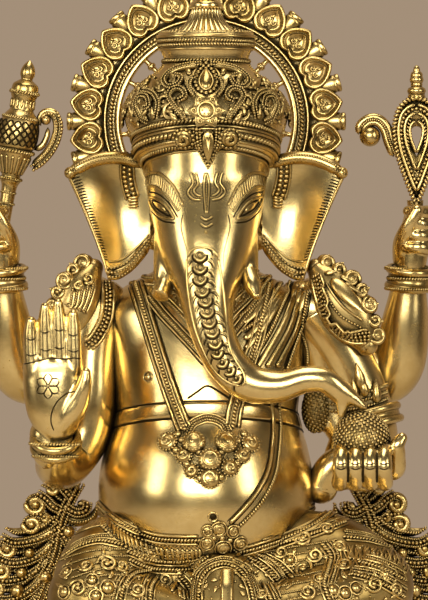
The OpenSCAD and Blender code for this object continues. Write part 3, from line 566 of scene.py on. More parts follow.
def ball(bm, at, r, squeeze=(1, 1, 1)):
    m = Matrix.Translation(at) @ Matrix.Diagonal((*squeeze, 1))
    bmesh.ops.create_icosphere(bm, subdivisions=3, radius=r, matrix=m)


def rod(bm, rows, sides=16, steps=None, ref=(0.3, 1, 0.2), at=(0, 0, 0), side=1):
    """A limb with round ends."""
    limb(bm, rows, sides, steps or 4 * (len(rows) - 1), ref, at, side)
    for p in (rows[0], rows[-1]):
        ball(bm, ((p[0] + at[0]) * side, p[1] + at[1], p[2] + at[2]), p[3])


torso = bmesh.new()
shell(torso, 80, 64, sections(TORSO, SEAT), caps=True)

FRONT_ARM = [(0, 0, 0, 23), (6, -9, -28, 21.5), (8, -14, -58, 21), (12, -15, -86, 20.5), (22, -23, -104, 19),
             (27, -42, -107, 17), (28, -60, -100, 14), (28, -71, -84, 12)]
HOLDING_ARM = [(0, 0, 0, 23), (18, 2, -28, 21.5), (34, 4, -60, 20), (42, 2, -86, 19), (42, -14, -101, 18),
               (38, -34, -105, 15), (34, -52, -106, 12)]
REAR_ARM = [(0, 0, 0, 22), (18, 6, -24, 21), (34, 10, -46, 20.5), (48, 9, -53, 20), (58, 4, -40, 19.5),
            (62, -2, -12, 17), (64, -6, 12, 13), (65, -8, 28, 12)]
SHOULDER = (76, 2, 320)
REAR_SHOULDER = (82, 26, 322)
INNER_RODS = [
    ([(-6, 0, 2, 20), (6, 2, -30, 18), (12, 2, -60, 16), (18, -2, -80, 12.5), (22, -6, -92, 10.5),
      (20, -10, -106, 12), (24, -14, -116, 12)], 24, 36),
    ([(8, 0, -46, 14), (6, -2, -66, 11.5), (12, -4, -80, 9)], 20, 20),
    ([(22, -14, -104, 10), (12, -16, -112, 10.5), (6, -14, -126, 12)], 20, 20)]
OUTWARD = (1, 0.1, 0.1)
BACKWARD = (0.1, 1, 0)
arms = {}
for name, side, at, rows, ref in (("front_right_arm", -1, SHOULDER, FRONT_ARM, OUTWARD),
                                  ("front_left_arm", 1, SHOULDER, HOLDING_ARM, OUTWARD),
                                  ("rear_right_arm", -1, REAR_SHOULDER, REAR_ARM, BACKWARD),
                                  ("rear_left_arm", 1, REAR_SHOULDER, REAR_ARM, BACKWARD)):
    arms[name] = bmesh.new()
    limb(arms[name], rows, 32, 64, ref, at, side)
    ball(arms[name], (at[0] * side, at[1], at[2]), rows[0][3] - 0.4)
for rows, sides, steps in INNER_RODS:
    rod(arms["front_left_arm"], rows, sides, steps, OUTWARD, SHOULDER)

# Head and trunk run together as one casting.
TRUNK = [(0, -28, 72, 42.5, 28), (0, -39, 38, 38.5, 29.5), (0, -50, 13, 32.5, 28.5),
         (0.5, -58, -5, 26, 25.5), (1, -66, -20, 20, 21.5), (3, -74, -37, 16, 18),
         (8, -79, -52, 14.8, 15.5), (16, -81, -66, 14, 14), (30, -83, -78, 13.5, 13),
         (49, -84, -80, 11.5, 11.5), (68, -85, -75, 9.6, 9.4), (82, -85, -76, 8.8, 8.6),
         (90, -84, -82, 8.6, 8), (97, -83, -88, 8, 6.5), (100, -83, -91, 6, 4)]
head = bmesh.new()
shell(head, 64, 40, sections(SKULL, NECK), caps=True)
limb(head, TRUNK, 28, 96, (0, 1, 0.3), (0, 0, NECK))
rod(head, [(97, -84, -85, 5.6), (108, -84, -94, 3.4)], at=(0, 0, NECK))
rod(head, [(94, -84, -88, 5.6), (93, -84, -99, 3.4)], at=(0, 0, NECK))
for side in (-1, 1):
    rod(head, [(24, -38, 20, 13), (28, -50, -6 if side < 0 else 0, 9)], at=(0, 0, NECK), side=side)
head = melted(head, 1.2, 24)


def ear_spot(s, v, face, side, lift=0.0):
    top = 73 + 15 * math.sin(math.radians(110 * s)) - 20 * s * s
    low = 15 - 18 * math.sin(math.radians(120 * s)) - 9 * s
    x = 39.5 + 2 * v + 58 * s * (0.52 + 0.48 * max(v, 0) ** 1.3)
    dish = 9 * math.sin(math.radians(180 * min(1, 0.9 * s))) * math.sin(math.radians(180 * v)) - 13 * s
    edge = math.sqrt(max(0.0, (1 - abs(2 * v - 1) ** 8) * (1 - s ** 10)))
    thick = 2.5 * (1 - 0.35 * s) * edge
    return Vector((x * side, -6 + dish + face * (thick + lift), NECK + low + (top - low) * v))


EARS = (("right_ear", -1), ("left_ear", 1))
ears = {}
for name, side in EARS:
    ears[name] = bmesh.new()
    shell(ears[name], 96, 44, lambda u, v: ear_spot(min(u, 1 - u) * 2, v, -1 if u < 0.5 else 1, side))

# Rear hands closed round what they hold, the thumb on the inner side.
FIST = [(147, 16, 346, 10.5), (148, 15, 358, 11.5), (150, 15, 372, 11.5), (151, 15, 386, 9)]
FIST_THUMB = [(141, 16, 356, 7), (139.5, 6, 368, 5.8), (144, -3, 380, 5), (150, -5, 391, 4.4)]
hands = {}
for name, side in (("rear_right_hand", -1), ("rear_left_hand", 1)):
    fist = bmesh.new()
    rod(fist, FIST, 20, 18, side=side)
    for k in range(4):
        z = 364 + 8.4 * k
        finger = [(158, 17, z, 5.2), (159.5, 6, z, 5), (152, -1.5, z + 0.6, 4.8), (144.5, 1.5, z + 1, 4.3)]
        rod(fist, finger, 16, 18, UP, side=side)
    rod(fist, FIST_THUMB, 16, 18, side=side)
    hands[name] = melted(fist, 0.9, 6)

# The raised right palm, modelled finger by finger from the photograph.
palm = bmesh.new()


def in_palm(px, py, y, r):
    """A row of a rod: a photograph point on an upright plane, with a radius."""
    return *on_plane(px, py, y), r


for path in ([(31, 321, 3.4), (30.5, 333, 4.9), (31, 352, 5.3), (32.5, 368, 5.4), (37, 390, 5)],
             [(45, 307, 3.4), (45, 322, 5), (45.5, 346, 5.4), (46, 366, 5.5), (48, 390, 5)],
             [(58, 303, 3.4), (58.5, 318, 5), (59.5, 344, 5.4), (60, 366, 5.5), (60, 390, 5)],
             [(73, 314, 3.4), (73.5, 328, 5), (74, 350, 5.4), (74, 368, 5.5), (71, 390, 5)]):
    rod(palm, [in_palm(x, y, r - 77, r) for x, y, r in path], 20, 42)
PALM = [(53, 357, 18.5, 4, 74), (53, 361, 20.4, 7, 77.4), (53.5, 370, 21, 10, 79.4),
        (54, 384, 21.2, 11.5, 80.4), (54.5, 398, 21, 12.5, 80.6), (55, 412, 19.4, 13, 80),
        (56, 424, 16.2, 12.5, 78.4), (56.5, 434, 13, 12, 76)]
limb(palm, [in_palm(x, y, deep - ahead, wide) + (deep,) for x, y, wide, deep, ahead in PALM], 40, 40, BACK)
THUMB = [(62, 424, 8, 4), (70, 413, 9.4, 1.5), (77, 402, 8.6, 0.6), (82, 391, 6.4, 0), (85, 381, 4.8, 0),
         (86, 372, 3.4, 0.6)]
rod(palm, [in_palm(x, y, r - 83 + d, r) for x, y, r, d in THUMB], 24, 36)
rod(palm, [(-110.5, -63, 237, 12), (-108, -64, 224, 12)], 20, 8)
hands["front_right_hand"] = melted(palm, 0.9, 7)

# The cupped left hand: four fingers up the front of the sweet, the thumb beside it.
FINGERS = (341, 355.5, 370, 384)
FINGER = [(449, -92, 4.6), (455, -100, 5.3), (465, -104, 5.7), (475, -101, 5.7), (483, -90, 5.7)]
cup = bmesh.new()
for px in FINGERS:
    rod(cup, [in_palm(px, *row) for row in FINGER] + [(110, -62, 219, 9)], 18, 40)
rod(cup, [(112, -58, 218, 9), in_palm(393, 470, -80, 7.4), in_palm(396, 456, -88, 6.6),
          in_palm(397, 446, -92, 5.6), in_palm(402, 438, -92, 3.8)], 18, 30)
hands["front_left_hand"] = melted(cup, 0.8, 4)
feet = {name: melted(carried(name), 1.2, 6) for name in ("right_foot", "left_foot")}

# The crossed legs and haunches, over the same centres as the solid's lap, cut flat where they sit.
LEVEL = (0, 0.2, 1)
ON_SEAT = (0, 0, SEAT)
legs = bmesh.new()
for side, (kx, ky, kz), ankle in (
        (1, (114, -50, 40), (6, -84, 24, 18.5)), (-1, (78, -78, 36), (10, -86, 22, 18.5))):
    thigh = [(36, -24, 46, 44), (16 + kx * 0.6, ky * 0.6, 50, 40), (kx, ky, kz, 32)]
    shin = [(kx, ky, kz, 30), (kx * 0.5, -84, 27, 23.5), ankle]
    for rows in (thigh, shin):
        rod(legs, rows, 32, 24, LEVEL, ON_SEAT, side)
for x, y, r in ((40, 22, 48.5), (34, -34, 41)):
    rod(legs, [(-x, y, 40, r), (x, y, 40, r)], 40, 16, LEVEL, ON_SEAT)
for x, y in ((-62, -40), (62, -40), (-62, 40), (62, 40)):
    rod(legs, [(x, y, 2, 11), (x, y, 24, 14)], 20, 8, RIGHT, ON_SEAT)
lap = melted(legs, 2.0, 10)
whole = lap.verts[:] + lap.edges[:] + lap.faces[:]
bmesh.ops.bisect_plane(lap, geom=whole, plane_co=ON_SEAT, plane_no=-UP, clear_outer=True)
bmesh.ops.holes_fill(lap, edges=[e for e in lap.edges if e.is_boundary])

TUSKS = {"right_tusk": (-1, -7, 18, 5.2), "left_tusk": (1, 1, 30, 2.4)}
tusks = {}
for name, (side, up, long, tip) in TUSKS.items():
    tusks[name] = bmesh.new()
    outline = [(0, 0), (6.4, 0.3), (6.6, 3), (6.5, long * 0.4), (6.0, long * 0.65), (tip + 0.9, long * 0.9),
               (tip, long - 0.6), (0, long)]
    lathe(tusks[name], outline, 32, (0, 0, 0), n=42)
    turn = Matrix.Rotation(math.radians(side * 24), 4, "Z") @ Matrix.Rotation(math.radians(135), 4, "X")
    bmesh.ops.transform(tusks[name], matrix=Matrix.Translation((side * 27, -50, NECK + up)) @ turn,
                        verts=tusks[name].verts)

# Crown, turned in five stages.
dome = bmesh.new()
DOME = [(45, -6), (51, -2), (55.5, 6), (57.8, 14), (57.6, 19), (54.5, 27), (47, 36.7), (39, 44.3),
        (32.5, 50.2), (29.5, 54)]
lathe(dome, [(0, -6)] + smooth(DOME, 40) + [(0, 54)], 128, (0, CROWN_Y, CROWN), SQUASH)
pot = bmesh.new()
POT = [(29.5, 0), (30.5, 4), (32.5, 9), (33.5, 14), (33.5, 20), (30, 21), (26.5, 20)]
lathe(pot, [(0, 0)] + smooth(POT, 28) + [(0, 19)], 112, (0, CROWN_Y, 496), SQUASH)
bell = bmesh.new()
BELL = [(10.5 + 13 * (1 - k / 16) ** 1.9, 2 + 18 * k / 16) for k in range(17)]
lathe(bell, [(0, 0), (24.5, 0)] + BELL + [(0, 20)], 260, (0, 0, 0))
for v in bell.verts:
    if v.co.z > 1:
        ridge = 1 - 0.1 * (1 - abs(math.sin(13 * math.atan2(v.co.y, v.co.x)))) ** 1.6
        v.co.x *= ridge
        v.co.y *= ridge
    v.co = (v.co.x, v.co.y * SQUASH + CROWN_Y, v.co.z + 513.5)
finial = bmesh.new()
lathe(finial, [(0, 0), (10, 0), (11.5, 2.5), (10, 5), (6.5, 7), (8.5, 10), (12, 15.3), (11, 19.7),
               (6, 23.8), (5, 26.5), (3, 30.6), (0, 34)], 48, (0, CROWN_Y, 533.5), n=60)
diadem = bmesh.new()
DIADEM = [(-4, 10), (4, 10.5), (7, 9), (7.8, 6.5), (6.6, 4.4), (7.4, 2), (6.8, -1.6), (5.6, -3.2),
          (6, -5.4), (5, -8), (3.8, -9.6), (2, -11.4), (-4, -11), (-4, 0), (-4, 10)]


def on_diadem(turn, off, up):
    return Vector(((44.5 + off) * math.cos(turn), CROWN_Y + (47 + off) * math.sin(turn),
                   434 + up + 13 * max(-0.35, -math.sin(turn))))


shell(diadem, 128, 70, lambda u, v: on_diadem(u * math.tau, *along(DIADEM, v * 14)))

# Halo wheel behind the head: rim, hub, spokes, rope row, heart leaves and buds.
HALO = Vector((0, 52, 455))
to_wheel = Matrix.Translation(HALO) @ Matrix.Rotation(math.radians(90), 4, "X")
rim = bmesh.new()
RIM = [(62.5, -3), (62.3, 2), (63.2, 4.4), (65, 4.8), (66.4, 4.0), (67, 2), (68.4, 1.6), (71.6, 1.6),
       (72.8, 2.2), (73.4, 4.2), (74.6, 4.4), (76, 2.6), (77.6, 1.4), (80, 0.8), (90.5, 0), (90.5, -3),
       (76, -3.4), (62.5, -3)]
lathe(rim, RIM, 176, (0, 0, 0), n=140)
wheel_form = bmesh.new()
lathe(wheel_form, [(0, 4), (9, 4), (15, 3), (17, 1), (17, -3), (0, -3)], 48, (0, 0, 0))
SPOKE = [(14, 1.9), (50, 1.9), (54, 1.9), (55.5, 3.1), (57.5, 3.1), (59, 1.9), (64, 1.9)]
for k in range(20):
    t = math.tau * (k + 0.5) / 20
    d = Vector((math.cos(t), math.sin(t), 0))
    limb(wheel_form, [(*(d * q), w) for q, w in SPOKE], 10, 24, UP)
for form in (rim, wheel_form):
    bmesh.ops.transform(form, matrix=to_wheel, verts=form.verts)
piece("halo hub and spokes", wheel_form, POLISHED, (), 50)


def heart(t):
    """Outline of a leaf, notched at its root and pointed outward."""
    t = t if t <= math.pi else t - math.tau
    x = 15 * math.sin(t) * max(0.0, math.cos(t / 2)) ** 0.6
    return x, 3.4 * max(0, 1 - abs(t) / 0.55) ** 2 - 13 * math.cos(t)


halo_rope = Work()
circle = [math.tau * k / 180 for k in range(181)]
halo_rope.rope([(Vector((70 * math.cos(t), 70 * math.sin(t), 2.6)), UP) for t in circle], 2.3, loop=True)
hearts = bmesh.new()
buds = Work()
curls = Work()
HEART_CUT = [(0, 1.0), (0.2, 1.0), (0.42, 0.9), (0.5, 1.9), (0.57, 2.1), (0.64, 1.1), (0.7, 1.0),
             (0.76, 2.8), (0.84, 3.6), (0.92, 3.5), (0.98, 2.4), (1.0, 0.6), (0.96, -2.2), (0.5, -2.4),
             (0, -2.4)]
BUD = [(84, 3.4), (88, 5.2), (92, 6.3), (97, 6.7), (98.4, 6.1), (99.2, 6.6), (101, 6.6), (101.8, 5.8),
       (102.1, 4), (102.2, 0.1)]
for k in range(22):
    t = math.tau * k / 22 + math.pi / 2
    out, side = Vector((math.cos(t), math.sin(t), 0)), Vector((-math.sin(t), math.cos(t), 0))
    centre = out * 87.8

    def leaf_at(u, v):
        s, up = HEART_CUT[round(v * 14)]
        x, y = heart(u * math.tau)
        return centre + side * x * s + out * y * s + UP * (up + 2.0)
    shell(hearts, 40, 14, leaf_at)
    for hand in (-1, 1):
        root = centre - out * 1.2 + side * hand * 2.6 + UP * 3.2
        curls.curl(root, UP, out, 2.5, 1.0, 0.75, 0.4, -hand, 0.4)
    curls.leaf(centre + out * 0.6 + UP * 2.8, out, UP, 5.4, 3.4, 1.4, 1)
    t += math.tau / 44
    out, side = Vector((math.cos(t), math.sin(t), 0)), Vector((-math.sin(t), math.cos(t), 0))
    limb(buds.bm, [(*(out * q), w, w * 0.65) for q, w in BUD], 14, 27, UP)
for form in (halo_rope.joined(), hearts, buds.joined(), curls.joined()):
    bmesh.ops.transform(form, matrix=to_wheel, verts=form.verts)
halo_rope.done("halo rope row", CHASED)
piece("halo hearts", hearts, CHASED, ("halo_leaves",), 60)
curls.done("halo heart curls", CHASED)
buds.done("halo bud row", CHASED, ("halo_buds",))

# Crown ornament, chased on the dome, the pot and the head band.
crown_skin = skin_of(dome, pot, diadem, head)
bands = Work()


def head_band(high, drop):
    return girdle(crown_skin, 0, CROWN_Y, lambda t: high + drop * max(-0.35, front(t)))


for high, drop, r, lean in ((441, 13, 2.2, 1), (431.4, 13.6, 2.9, 0.7), (422, 14.5, 2.0, 1)):
    bands.rope(head_band(high, drop), r, lean, loop=True)
for high, drop, r in ((437.6, 13, 1.3), (435, 13.4, 1.1), (426.8, 14, 1.4), (418.8, 14.8, 1.1)):
    bands.wire(head_band(high, drop), r, loop=True)
bands.done("head band ropes", CHASED)

ring_rows = Work()


def crown_ring(r, z, tip=0.0):
    out = []
    for k in range(145):
        t = math.tau * k / 144
        c, s = math.cos(t), math.sin(t)
        n = Vector((c * math.cos(tip), s * math.cos(tip) / SQUASH, math.sin(tip))).normalized()
        out.append((Vector((r * c, CROWN_Y + r * SQUASH * s, z)), n))
    return out


for r, z, tip, thick in ((32.2, 516.5, 0.9, 1.5), (11.6, 533.6, 0.0, 1.3)):
    ring_rows.beads(crown_ring(r, z, tip), thick, 2.0, loop=True)
for r, z, thick, lean in ((34.0, 510.4, 1.7, 1), (33.6, 507.6, 1.7, -1), (30.4, 496.4, 1.9, 1)):
    ring_rows.rope(crown_ring(r, z), thick, lean, loop=True)
for r, z, thick in ((33.9, 513.6, 1.5), (33.0, 504.6, 0.9), (30.6, 493.6, 1.2), (24.6, 515.4, 1.0)):
    ring_rows.wire(crown_ring(r, z), thick, loop=True)
ring_rows.done("crown bead rows", CHASED)

CROWN_MIDDLE = 206
FLOWER = (CROWN_MIDDLE, 112)
foliage = Work()
dome_skin = skin_of(dome, diadem, head)


def flipped(path, middle):
    """A path of photograph points mirrored about an upright line."""
    return [(2 * middle - p[0], p[1]) for p in path]


def both(path):
    """A path and its mirror image about the middle of the crown."""
    return path, flipped(path, CROWN_MIDDLE)


for shape in ([(186, 121), (177, 109), (170, 98), (174, 91), (182, 91), (186, 98), (180, 102)],
              [(201, 67), (187, 68), (173, 73), (165, 82), (169, 89), (178, 87), (182, 80), (176, 78)],
              [(145, 93), (154, 95), (160, 104), (158, 117)],
              [(150, 121), (142, 116), (138, 106), (142, 98), (149, 99), (151, 107), (146, 109)],
              [(196, 98), (190, 90), (191, 82), (197, 79)]):
    for path in both(shape):
        line = traced(path, dome_skin, 1.2)
        foliage.wire(line, 3.0, taper=0.45)
        for side in (-1.2, 1.2):
            foliage.beads(shifted(line, side, 2.5), 0.9, 2.0)
for path in both([(206, 64), (198, 74), (195, 83), (199, 91), (206, 94)]):
    line = traced(path, dome_skin, 1.2)
    foliage.beads(line, 1.8, 1.8)
    foliage.beside(line, 2.9, 1.0, -0.6)
foliage.petal((206, 90), (206, 69), dome_skin, 9, 3.2, 0.6, 3)
foliage.knob(206, 84, dome_skin, 2.8, 0.9, 0.7)
for px, py, qx, qy, wide in (
        (167, 119, 167, 102, 9), (183, 114, 178, 102, 5), (160, 90, 153, 80, 7), (176, 84, 168, 70, 6),
        (190, 76, 186, 64, 5), (154, 120, 154, 106, 5), (134, 122, 134, 104, 7), (144, 90, 138, 82, 6),
        (188, 88, 184, 78, 4), (178, 122, 172, 113, 5), (160, 74, 152, 72, 6)):
    for p, q in both([(px, py), (qx, qy)]):
        foliage.petal(p, q, dome_skin, wide, 2.2, 0.4)
for px, py, r in ((181, 97, 2.2), (174, 82, 2.4), (146, 104, 2.4), (163, 96, 1.8), (167, 112, 1.6),
                  (155, 88, 1.6), (188, 71, 1.5)):
    for (place,) in both([(px, py)]):
        foliage.knob(*place, dome_skin, r, 0.9, 0.6)
for _ in range(40):
    q = (random.uniform(140, 272), random.uniform(70, 115))
    if math.dist(q, FLOWER) > 23:
        foliage.knob(*q, dome_skin, random.uniform(0.6, 0.9), 0.8)
for k in range(26):
    hand = 1 if k % 2 else -1
    t = math.radians(-90 + 50 * hand) + (0.14 * (k // 2) + 0.1) * hand
    z = (461, 470, 479, 466)[k // 2 % 4] + random.uniform(-2, 2)
    d = Vector((math.cos(t), math.sin(t), 0))
    at, n, _, _ = dome_skin.ray_cast(Vector((0, CROWN_Y, z)) + d * OUTSIDE, -d)
    n = n if n.dot(d) > 0 else -n
    foliage.curl(at + n * 0.6, n, UP, 6.2 - (z - 461) * 0.12, 1.3, 1.7, k, hand, 0.36)
    for i in range(5):
        s = i * 1.256 + k
        a = n.orthogonal().normalized()
        e = a * math.cos(s) + n.cross(a) * math.sin(s)
        foliage.leaf(at + e * 4.6, e, n, 6.5, 4, 1.9, 1)
for px in (185, 228):
    at, n = spot(px, 136, crown_skin)
    foliage.boss(at + n * 2.6, n, 7.2, 0.55)
    foliage.curl(at + n * 6.4, n, UP, 4.4, 1.4, 1.6, 1.0, 1 if px < CROWN_MIDDLE else -1, 0.34)
    foliage.hoop(at + n * 4.8, n, 7.0, 1.5, True)
V_MIDDLE = 208
foliage.petal((V_MIDDLE, 130), (V_MIDDLE, 163), crown_skin, 9, 1.8, 2.4, 3)
for hand in (-1, 1):
    for out, down, r in ((8, 162, 1.1), (11, 165, 1.5), (14, 168, 1.1)):
        out *= hand
        edge = [(out, 129), (out * 0.9, 141), (out * 0.45, down - 12), (0, down)]
        edge = [(V_MIDDLE + px, py) for px, py in edge]
        foliage.beads(traced(edge, crown_skin, 3.0), r, 1.8)
foliage.petal((V_MIDDLE, 136), (V_MIDDLE, 152), crown_skin, 4, 1.4, 3.6)
foliage.knob(V_MIDDLE, 163, crown_skin, 2.2, 0.9)
foliage.turned(CROWN_Y)
foliage.done("crown foliage", CHASED)

flower = Work()
centre, n = spot(*FLOWER, dome_skin)
across = n.orthogonal().normalized()
flower.boss(centre + n * 2, n, 9, 0.55)
flower.boss(centre + n * 7.0, n, 5.2, 0.2)
flower.hoop(centre + n * 7.2, n, 5.8, 1.2)
for k in range(6):
    t = math.tau * (k + 0.25) / 6
    d = across * math.cos(t) + n.cross(across) * math.sin(t)
    flower.leaf(centre + n * 6.0 + d * 3.4, d, n, 10.2, 11, 2.2, 3)
    flower.hoop(centre + n * 8.0 + d * 8.6, n, 1.5, 0.6)
    flower.boss(centre + n * 7.8 + d * 8.6, n, 1.0, 0.9)
    flower.boss(centre + n * 7.8 + d * 2.6, n, 0.8, 0.8)
flower.done("crown flower", CHASED, ("crown_medallion",))

# Face: brows, eyes, forehead mark, temple straps and the scaled panel down the trunk.
FACE_MIDDLE = 205.5
face_skin = skin_of(head)
strap_skin = skin_of(head, ears["right_ear"], ears["left_ear"])
face = Work()
# Dark tubes for cut lines with their patina, and for painted shade in creases, gaps and along the edges of
# raised work.
cut_and_shade_lines = Work()
for mirror in (False, True):
    def at_side(path):
        return flipped(path, FACE_MIDDLE) if mirror else path
    upper = at_side([(144, 176), (153, 173), (162, 175), (174, 187), (183, 206)])
    lower = at_side([(146, 187), (153, 186), (159, 189), (170, 200), (178, 212)])
    face.wire(traced(upper, face_skin, 0.2), 1.15)
    face.wire(traced(lower, face_skin, 0.1), 0.8)
    for k in range(22):
        a, b = along(upper, 4 * (k + 0.3) / 22), along(lower, 4 * min(1, (k + 0.9) / 22))
        face.wire(traced([a, ((a[0] + b[0]) / 2, (a[1] + b[1]) / 2), b], face_skin, 0.05, 3), 0.55, 5)
    for lid in (at_side([(149, 197), (157, 199), (166, 206), (175, 219)]),
                at_side([(149, 197), (152, 207), (161, 216), (175, 219)])):
        face.wire(traced(lid, face_skin, 0.3), 1.1)
    for lid in (at_side([(152, 200), (159, 203), (166, 209), (172, 217)]),
                at_side([(152, 201), (155, 207), (163, 213), (172, 217)])):
        cut_and_shade_lines.wire(traced(lid, face_skin, 0.1), 0.75)
    for lid in (at_side([(148, 192), (158, 194), (169, 203), (178, 218)]),
                at_side([(148, 203), (153, 213), (163, 221), (176, 223)])):
        cut_and_shade_lines.wire(traced(lid, face_skin, -0.1), 0.65)
    eye = at_side([(161, 207), (171, 215), (153, 201)])
    (at, n), (inner, _), (outer, _) = [spot(*p, face_skin) for p in eye]
    slant = (inner - outer).normalized()
    face.grain(at - n * 0.2, slant * 6.4, n.cross(slant) * 2.4, n * 1.5, 3)
    strap = at_side([(129, 152), (127, 170), (129, 186), (133, 199)])
    for off in (-1.9, 1.9):
        face.beads(shifted(traced(strap, strap_skin, 1.2), off), 2.0, 1.7)
    face.beside(traced(strap, strap_skin, 0.6), 4.6, 1.1)
    for k in range(4):
        end = at_side([(128, 198 + 3 * k), (139, 197 + 3 * k)])
        face.wire(traced(end, strap_skin, 1.4, 6), 1.5)
    # A dark line down the crease beside the trunk: painted shade.
    fold = at_side([(183, 214), (181, 226), (184, 240), (187, 252), (188, 268)])
    cut_and_shade_lines.wire(traced(fold, face_skin, -0.2), 0.6, taper=0.6)
for path in (
        [(195, 172), (198, 183), (194, 190), (197, 195), (202, 196)],
        [(218, 171), (215, 182), (219, 189), (216, 194), (211, 196)], [(206, 172), (204, 186), (206, 214)],
        [(206, 172), (209, 186), (207, 214)], [(200, 216), (206, 220), (213, 216)],
        [(200, 223), (206, 227), (213, 223)], [(190, 172), (193, 183), (188, 192), (193, 199), (202, 200)],
        [(223, 171), (220, 182), (225, 191), (220, 198), (211, 200)]):
    face.wire(traced(path, face_skin, 0.2), 0.7)
    # Dark lines on both sides of each raised line: painted shade along its edges.
    cut_and_shade_lines.beside(traced(path, face_skin, -0.1), 1.1, 0.32)
for path in (
        [(193, 173), (195.5, 183), (191, 191), (195, 197), (202, 198)],
        [(220.5, 172), (217.5, 182), (222, 190), (218, 196), (211, 198)],
        [(206.3, 175), (206.5, 190), (206.5, 210)]):
    face.beads(traced(path, face_skin, 0.1), 0.6, 2.0)
face.knob(206, 232, face_skin, 1.4, 0.8)
SCALES = [(200, 255), (200, 267), (200, 278), (202, 290), (205, 300), (207, 311), (209, 321), (212, 331),
          (215, 342), (217, 352), (222, 362), (229, 370), (236, 378)]
PANEL = [[(187, 258), (187, 280), (190, 305), (195, 328), (203, 350), (214, 370), (228, 382), (241, 386)],
         [(218, 258), (222, 280), (225, 305), (227, 328), (230, 348), (236, 361), (243, 372), (245, 382),
          (241, 386)],
         [(187, 258), (192, 250), (202, 247), (213, 250), (218, 258)]]
for edge in PANEL:
    face.wire(traced(edge, face_skin, 0.0), 1.0)
for k, (px, py) in enumerate(SCALES):
    ahead = SCALES[min(k + 1, 12)], SCALES[max(k - 1, 0)]
    d = Vector((ahead[0][0] - ahead[1][0], ahead[0][1] - ahead[1][1])).normalized()
    s = Vector((d.y, -d.x))
    big = 1.0 if k < 9 else 0.86

    def scale(path):
        return [(px + (s.x * x + d.x * y) * big, py + (s.y * x + d.y * y) * big) for x, y in path]
    at, n = spot(px, py, face_skin)
    face.boss(at - n * 0.2, n, 3.3 * big, 0.24)
    face.boss(at + n * 0.5, n, 1.2 * big, 0.8)
    cut_and_shade_lines.hoop(at + n * 0.5, n, 1.7 * big, 0.3)
    face.wire(traced(scale([(-5.6, -1.5), (-4.6, 3), (0, 6), (4.6, 3), (5.6, -1.5)]), face_skin, 0.3), 1.2)
    cut_and_shade_lines.wire(traced(scale([(-7.6, -1), (-6, 5), (0, 8.2), (6, 5), (7.6, -1)]), face_skin, -0.1), 1.0)
    for path in (
            [(-6.6, 5.4), (-9.6, 8), (-11.6, 12.6)], [(6.8, -6.4), (11.2, -3.4), (13.4, 3)],
            [(10, 2.4), (12.6, 5)]):
        cut_and_shade_lines.wire(traced(scale(path), face_skin, -0.1, 10), 0.75, taper=0.4)
        ridge = [(x + math.copysign(1.2, x), y - 2) for x, y in path]
        face.wire(traced(scale(ridge), face_skin, 0.1, 10), 0.8, taper=0.4)
for k in range(9):
    px = 252 + 9 * k
    scratch = [(px, 352 + 5 * math.sin(k)), (px + 2, 358 + 4 * math.sin(k))]
    cut_and_shade_lines.wire(traced(scratch, face_skin, -0.3, 4), 0.25)
face.done("face and trunk relief", CHASED)

# Ear hems: beads below, hatching on the outer edge, a rolled hem above.
hems = Work()
for name, side in EARS:
    def hem(pairs, lift=0.0):
        out = []
        for s, v in smooth(pairs, 60):
            p = ear_spot(s, v, -1, side, lift)
            a, b = ear_spot(s + 0.01, v, -1, side), ear_spot(s, v + 0.01, -1, side)
            n = (a - p).cross(b - p).normalized()
            out.append((p, n if n.y < 0 else -n))
        return out
    hems.wire(hem([(0.02, 0.05), (0.3, 0.05), (0.6, 0.05), (0.95, 0.06)], 0.4), 4.0, 12)
    for v, lift in ((0.02, 3.4), (0.058, 4.4), (0.095, 3.4)):
        hems.beads(hem([(0.03, v), (0.3, v), (0.6, v), (0.94, v + 0.012)], lift), 1.4, 1.8)
    hems.wire(hem([(0.02, 0.14), (0.3, 0.14), (0.6, 0.14), (0.9, 0.16)], 0.1), 0.9)
    roll = hem([(0.02, 0.955), (0.3, 0.955), (0.6, 0.955), (0.985, 0.96)], 0.6)
    hems.wire(roll, 4.6, 14)
    hems.boss(*roll[-3], 4.4, 1.0)
    hems.rope(hem([(0.02, 0.975), (0.3, 0.975), (0.6, 0.975), (0.98, 0.98)], 4.2), 1.5)
    hems.beads(hem([(0.02, 0.945), (0.3, 0.945), (0.6, 0.945), (0.97, 0.95)], 4.9), 1.0, 2.0)
    hems.wire(hem([(0.99, 0.95), (0.995, 0.7), (0.995, 0.4), (0.98, 0.1), (0.95, 0.03)], 0.2), 1.2)
    for k in range(30):
        v = 0.18 + 0.72 * k / 29
        cut_and_shade_lines.wire(hem([(0.88, v - 0.012), (0.93, v), (0.985, v + 0.01)], 0.05), 0.55, 5)
hems.done("ear hems", CHASED)

# Torso ornament.
torso_skin = skin_of(torso)
body_skin = skin_of(torso, arms["front_left_arm"], arms["front_right_arm"])


def laced(work, line, wide, r):
    """A strap with plain edges and a twisted cord down its middle."""
    work.strap(line, wide, 1.5)
    work.beside(line, wide * 0.42, wide * 0.11, 1.0)
    work.rope(shifted(line, 0, 1.5), r * 1.75, 1.1)
    # Dark lines along the strap and just outside its edges where it meets the body: cut lines and painted
    # shade.
    cut_and_shade_lines.beside(line, wide * 0.27, 0.5, 1.2)
    cut_and_shade_lines.beside(line, wide * 0.56, 0.6, 0.1)


GARLANDS = {"right": [(136, 284), (149, 325), (160, 360), (170, 390), (180, 417), (185, 430)],
            "left": [(268, 286), (262, 315), (256, 340), (249, 360), (243, 380), (238, 397), (234, 412),
                     (232, 427)]}
for name, path in GARLANDS.items():
    strap = Work()
    laced(strap, traced(path, torso_skin, 0.4), 10.4, 1.15)
    strap.done(name + " garland", CHASED, (name + "_garland_strap",))

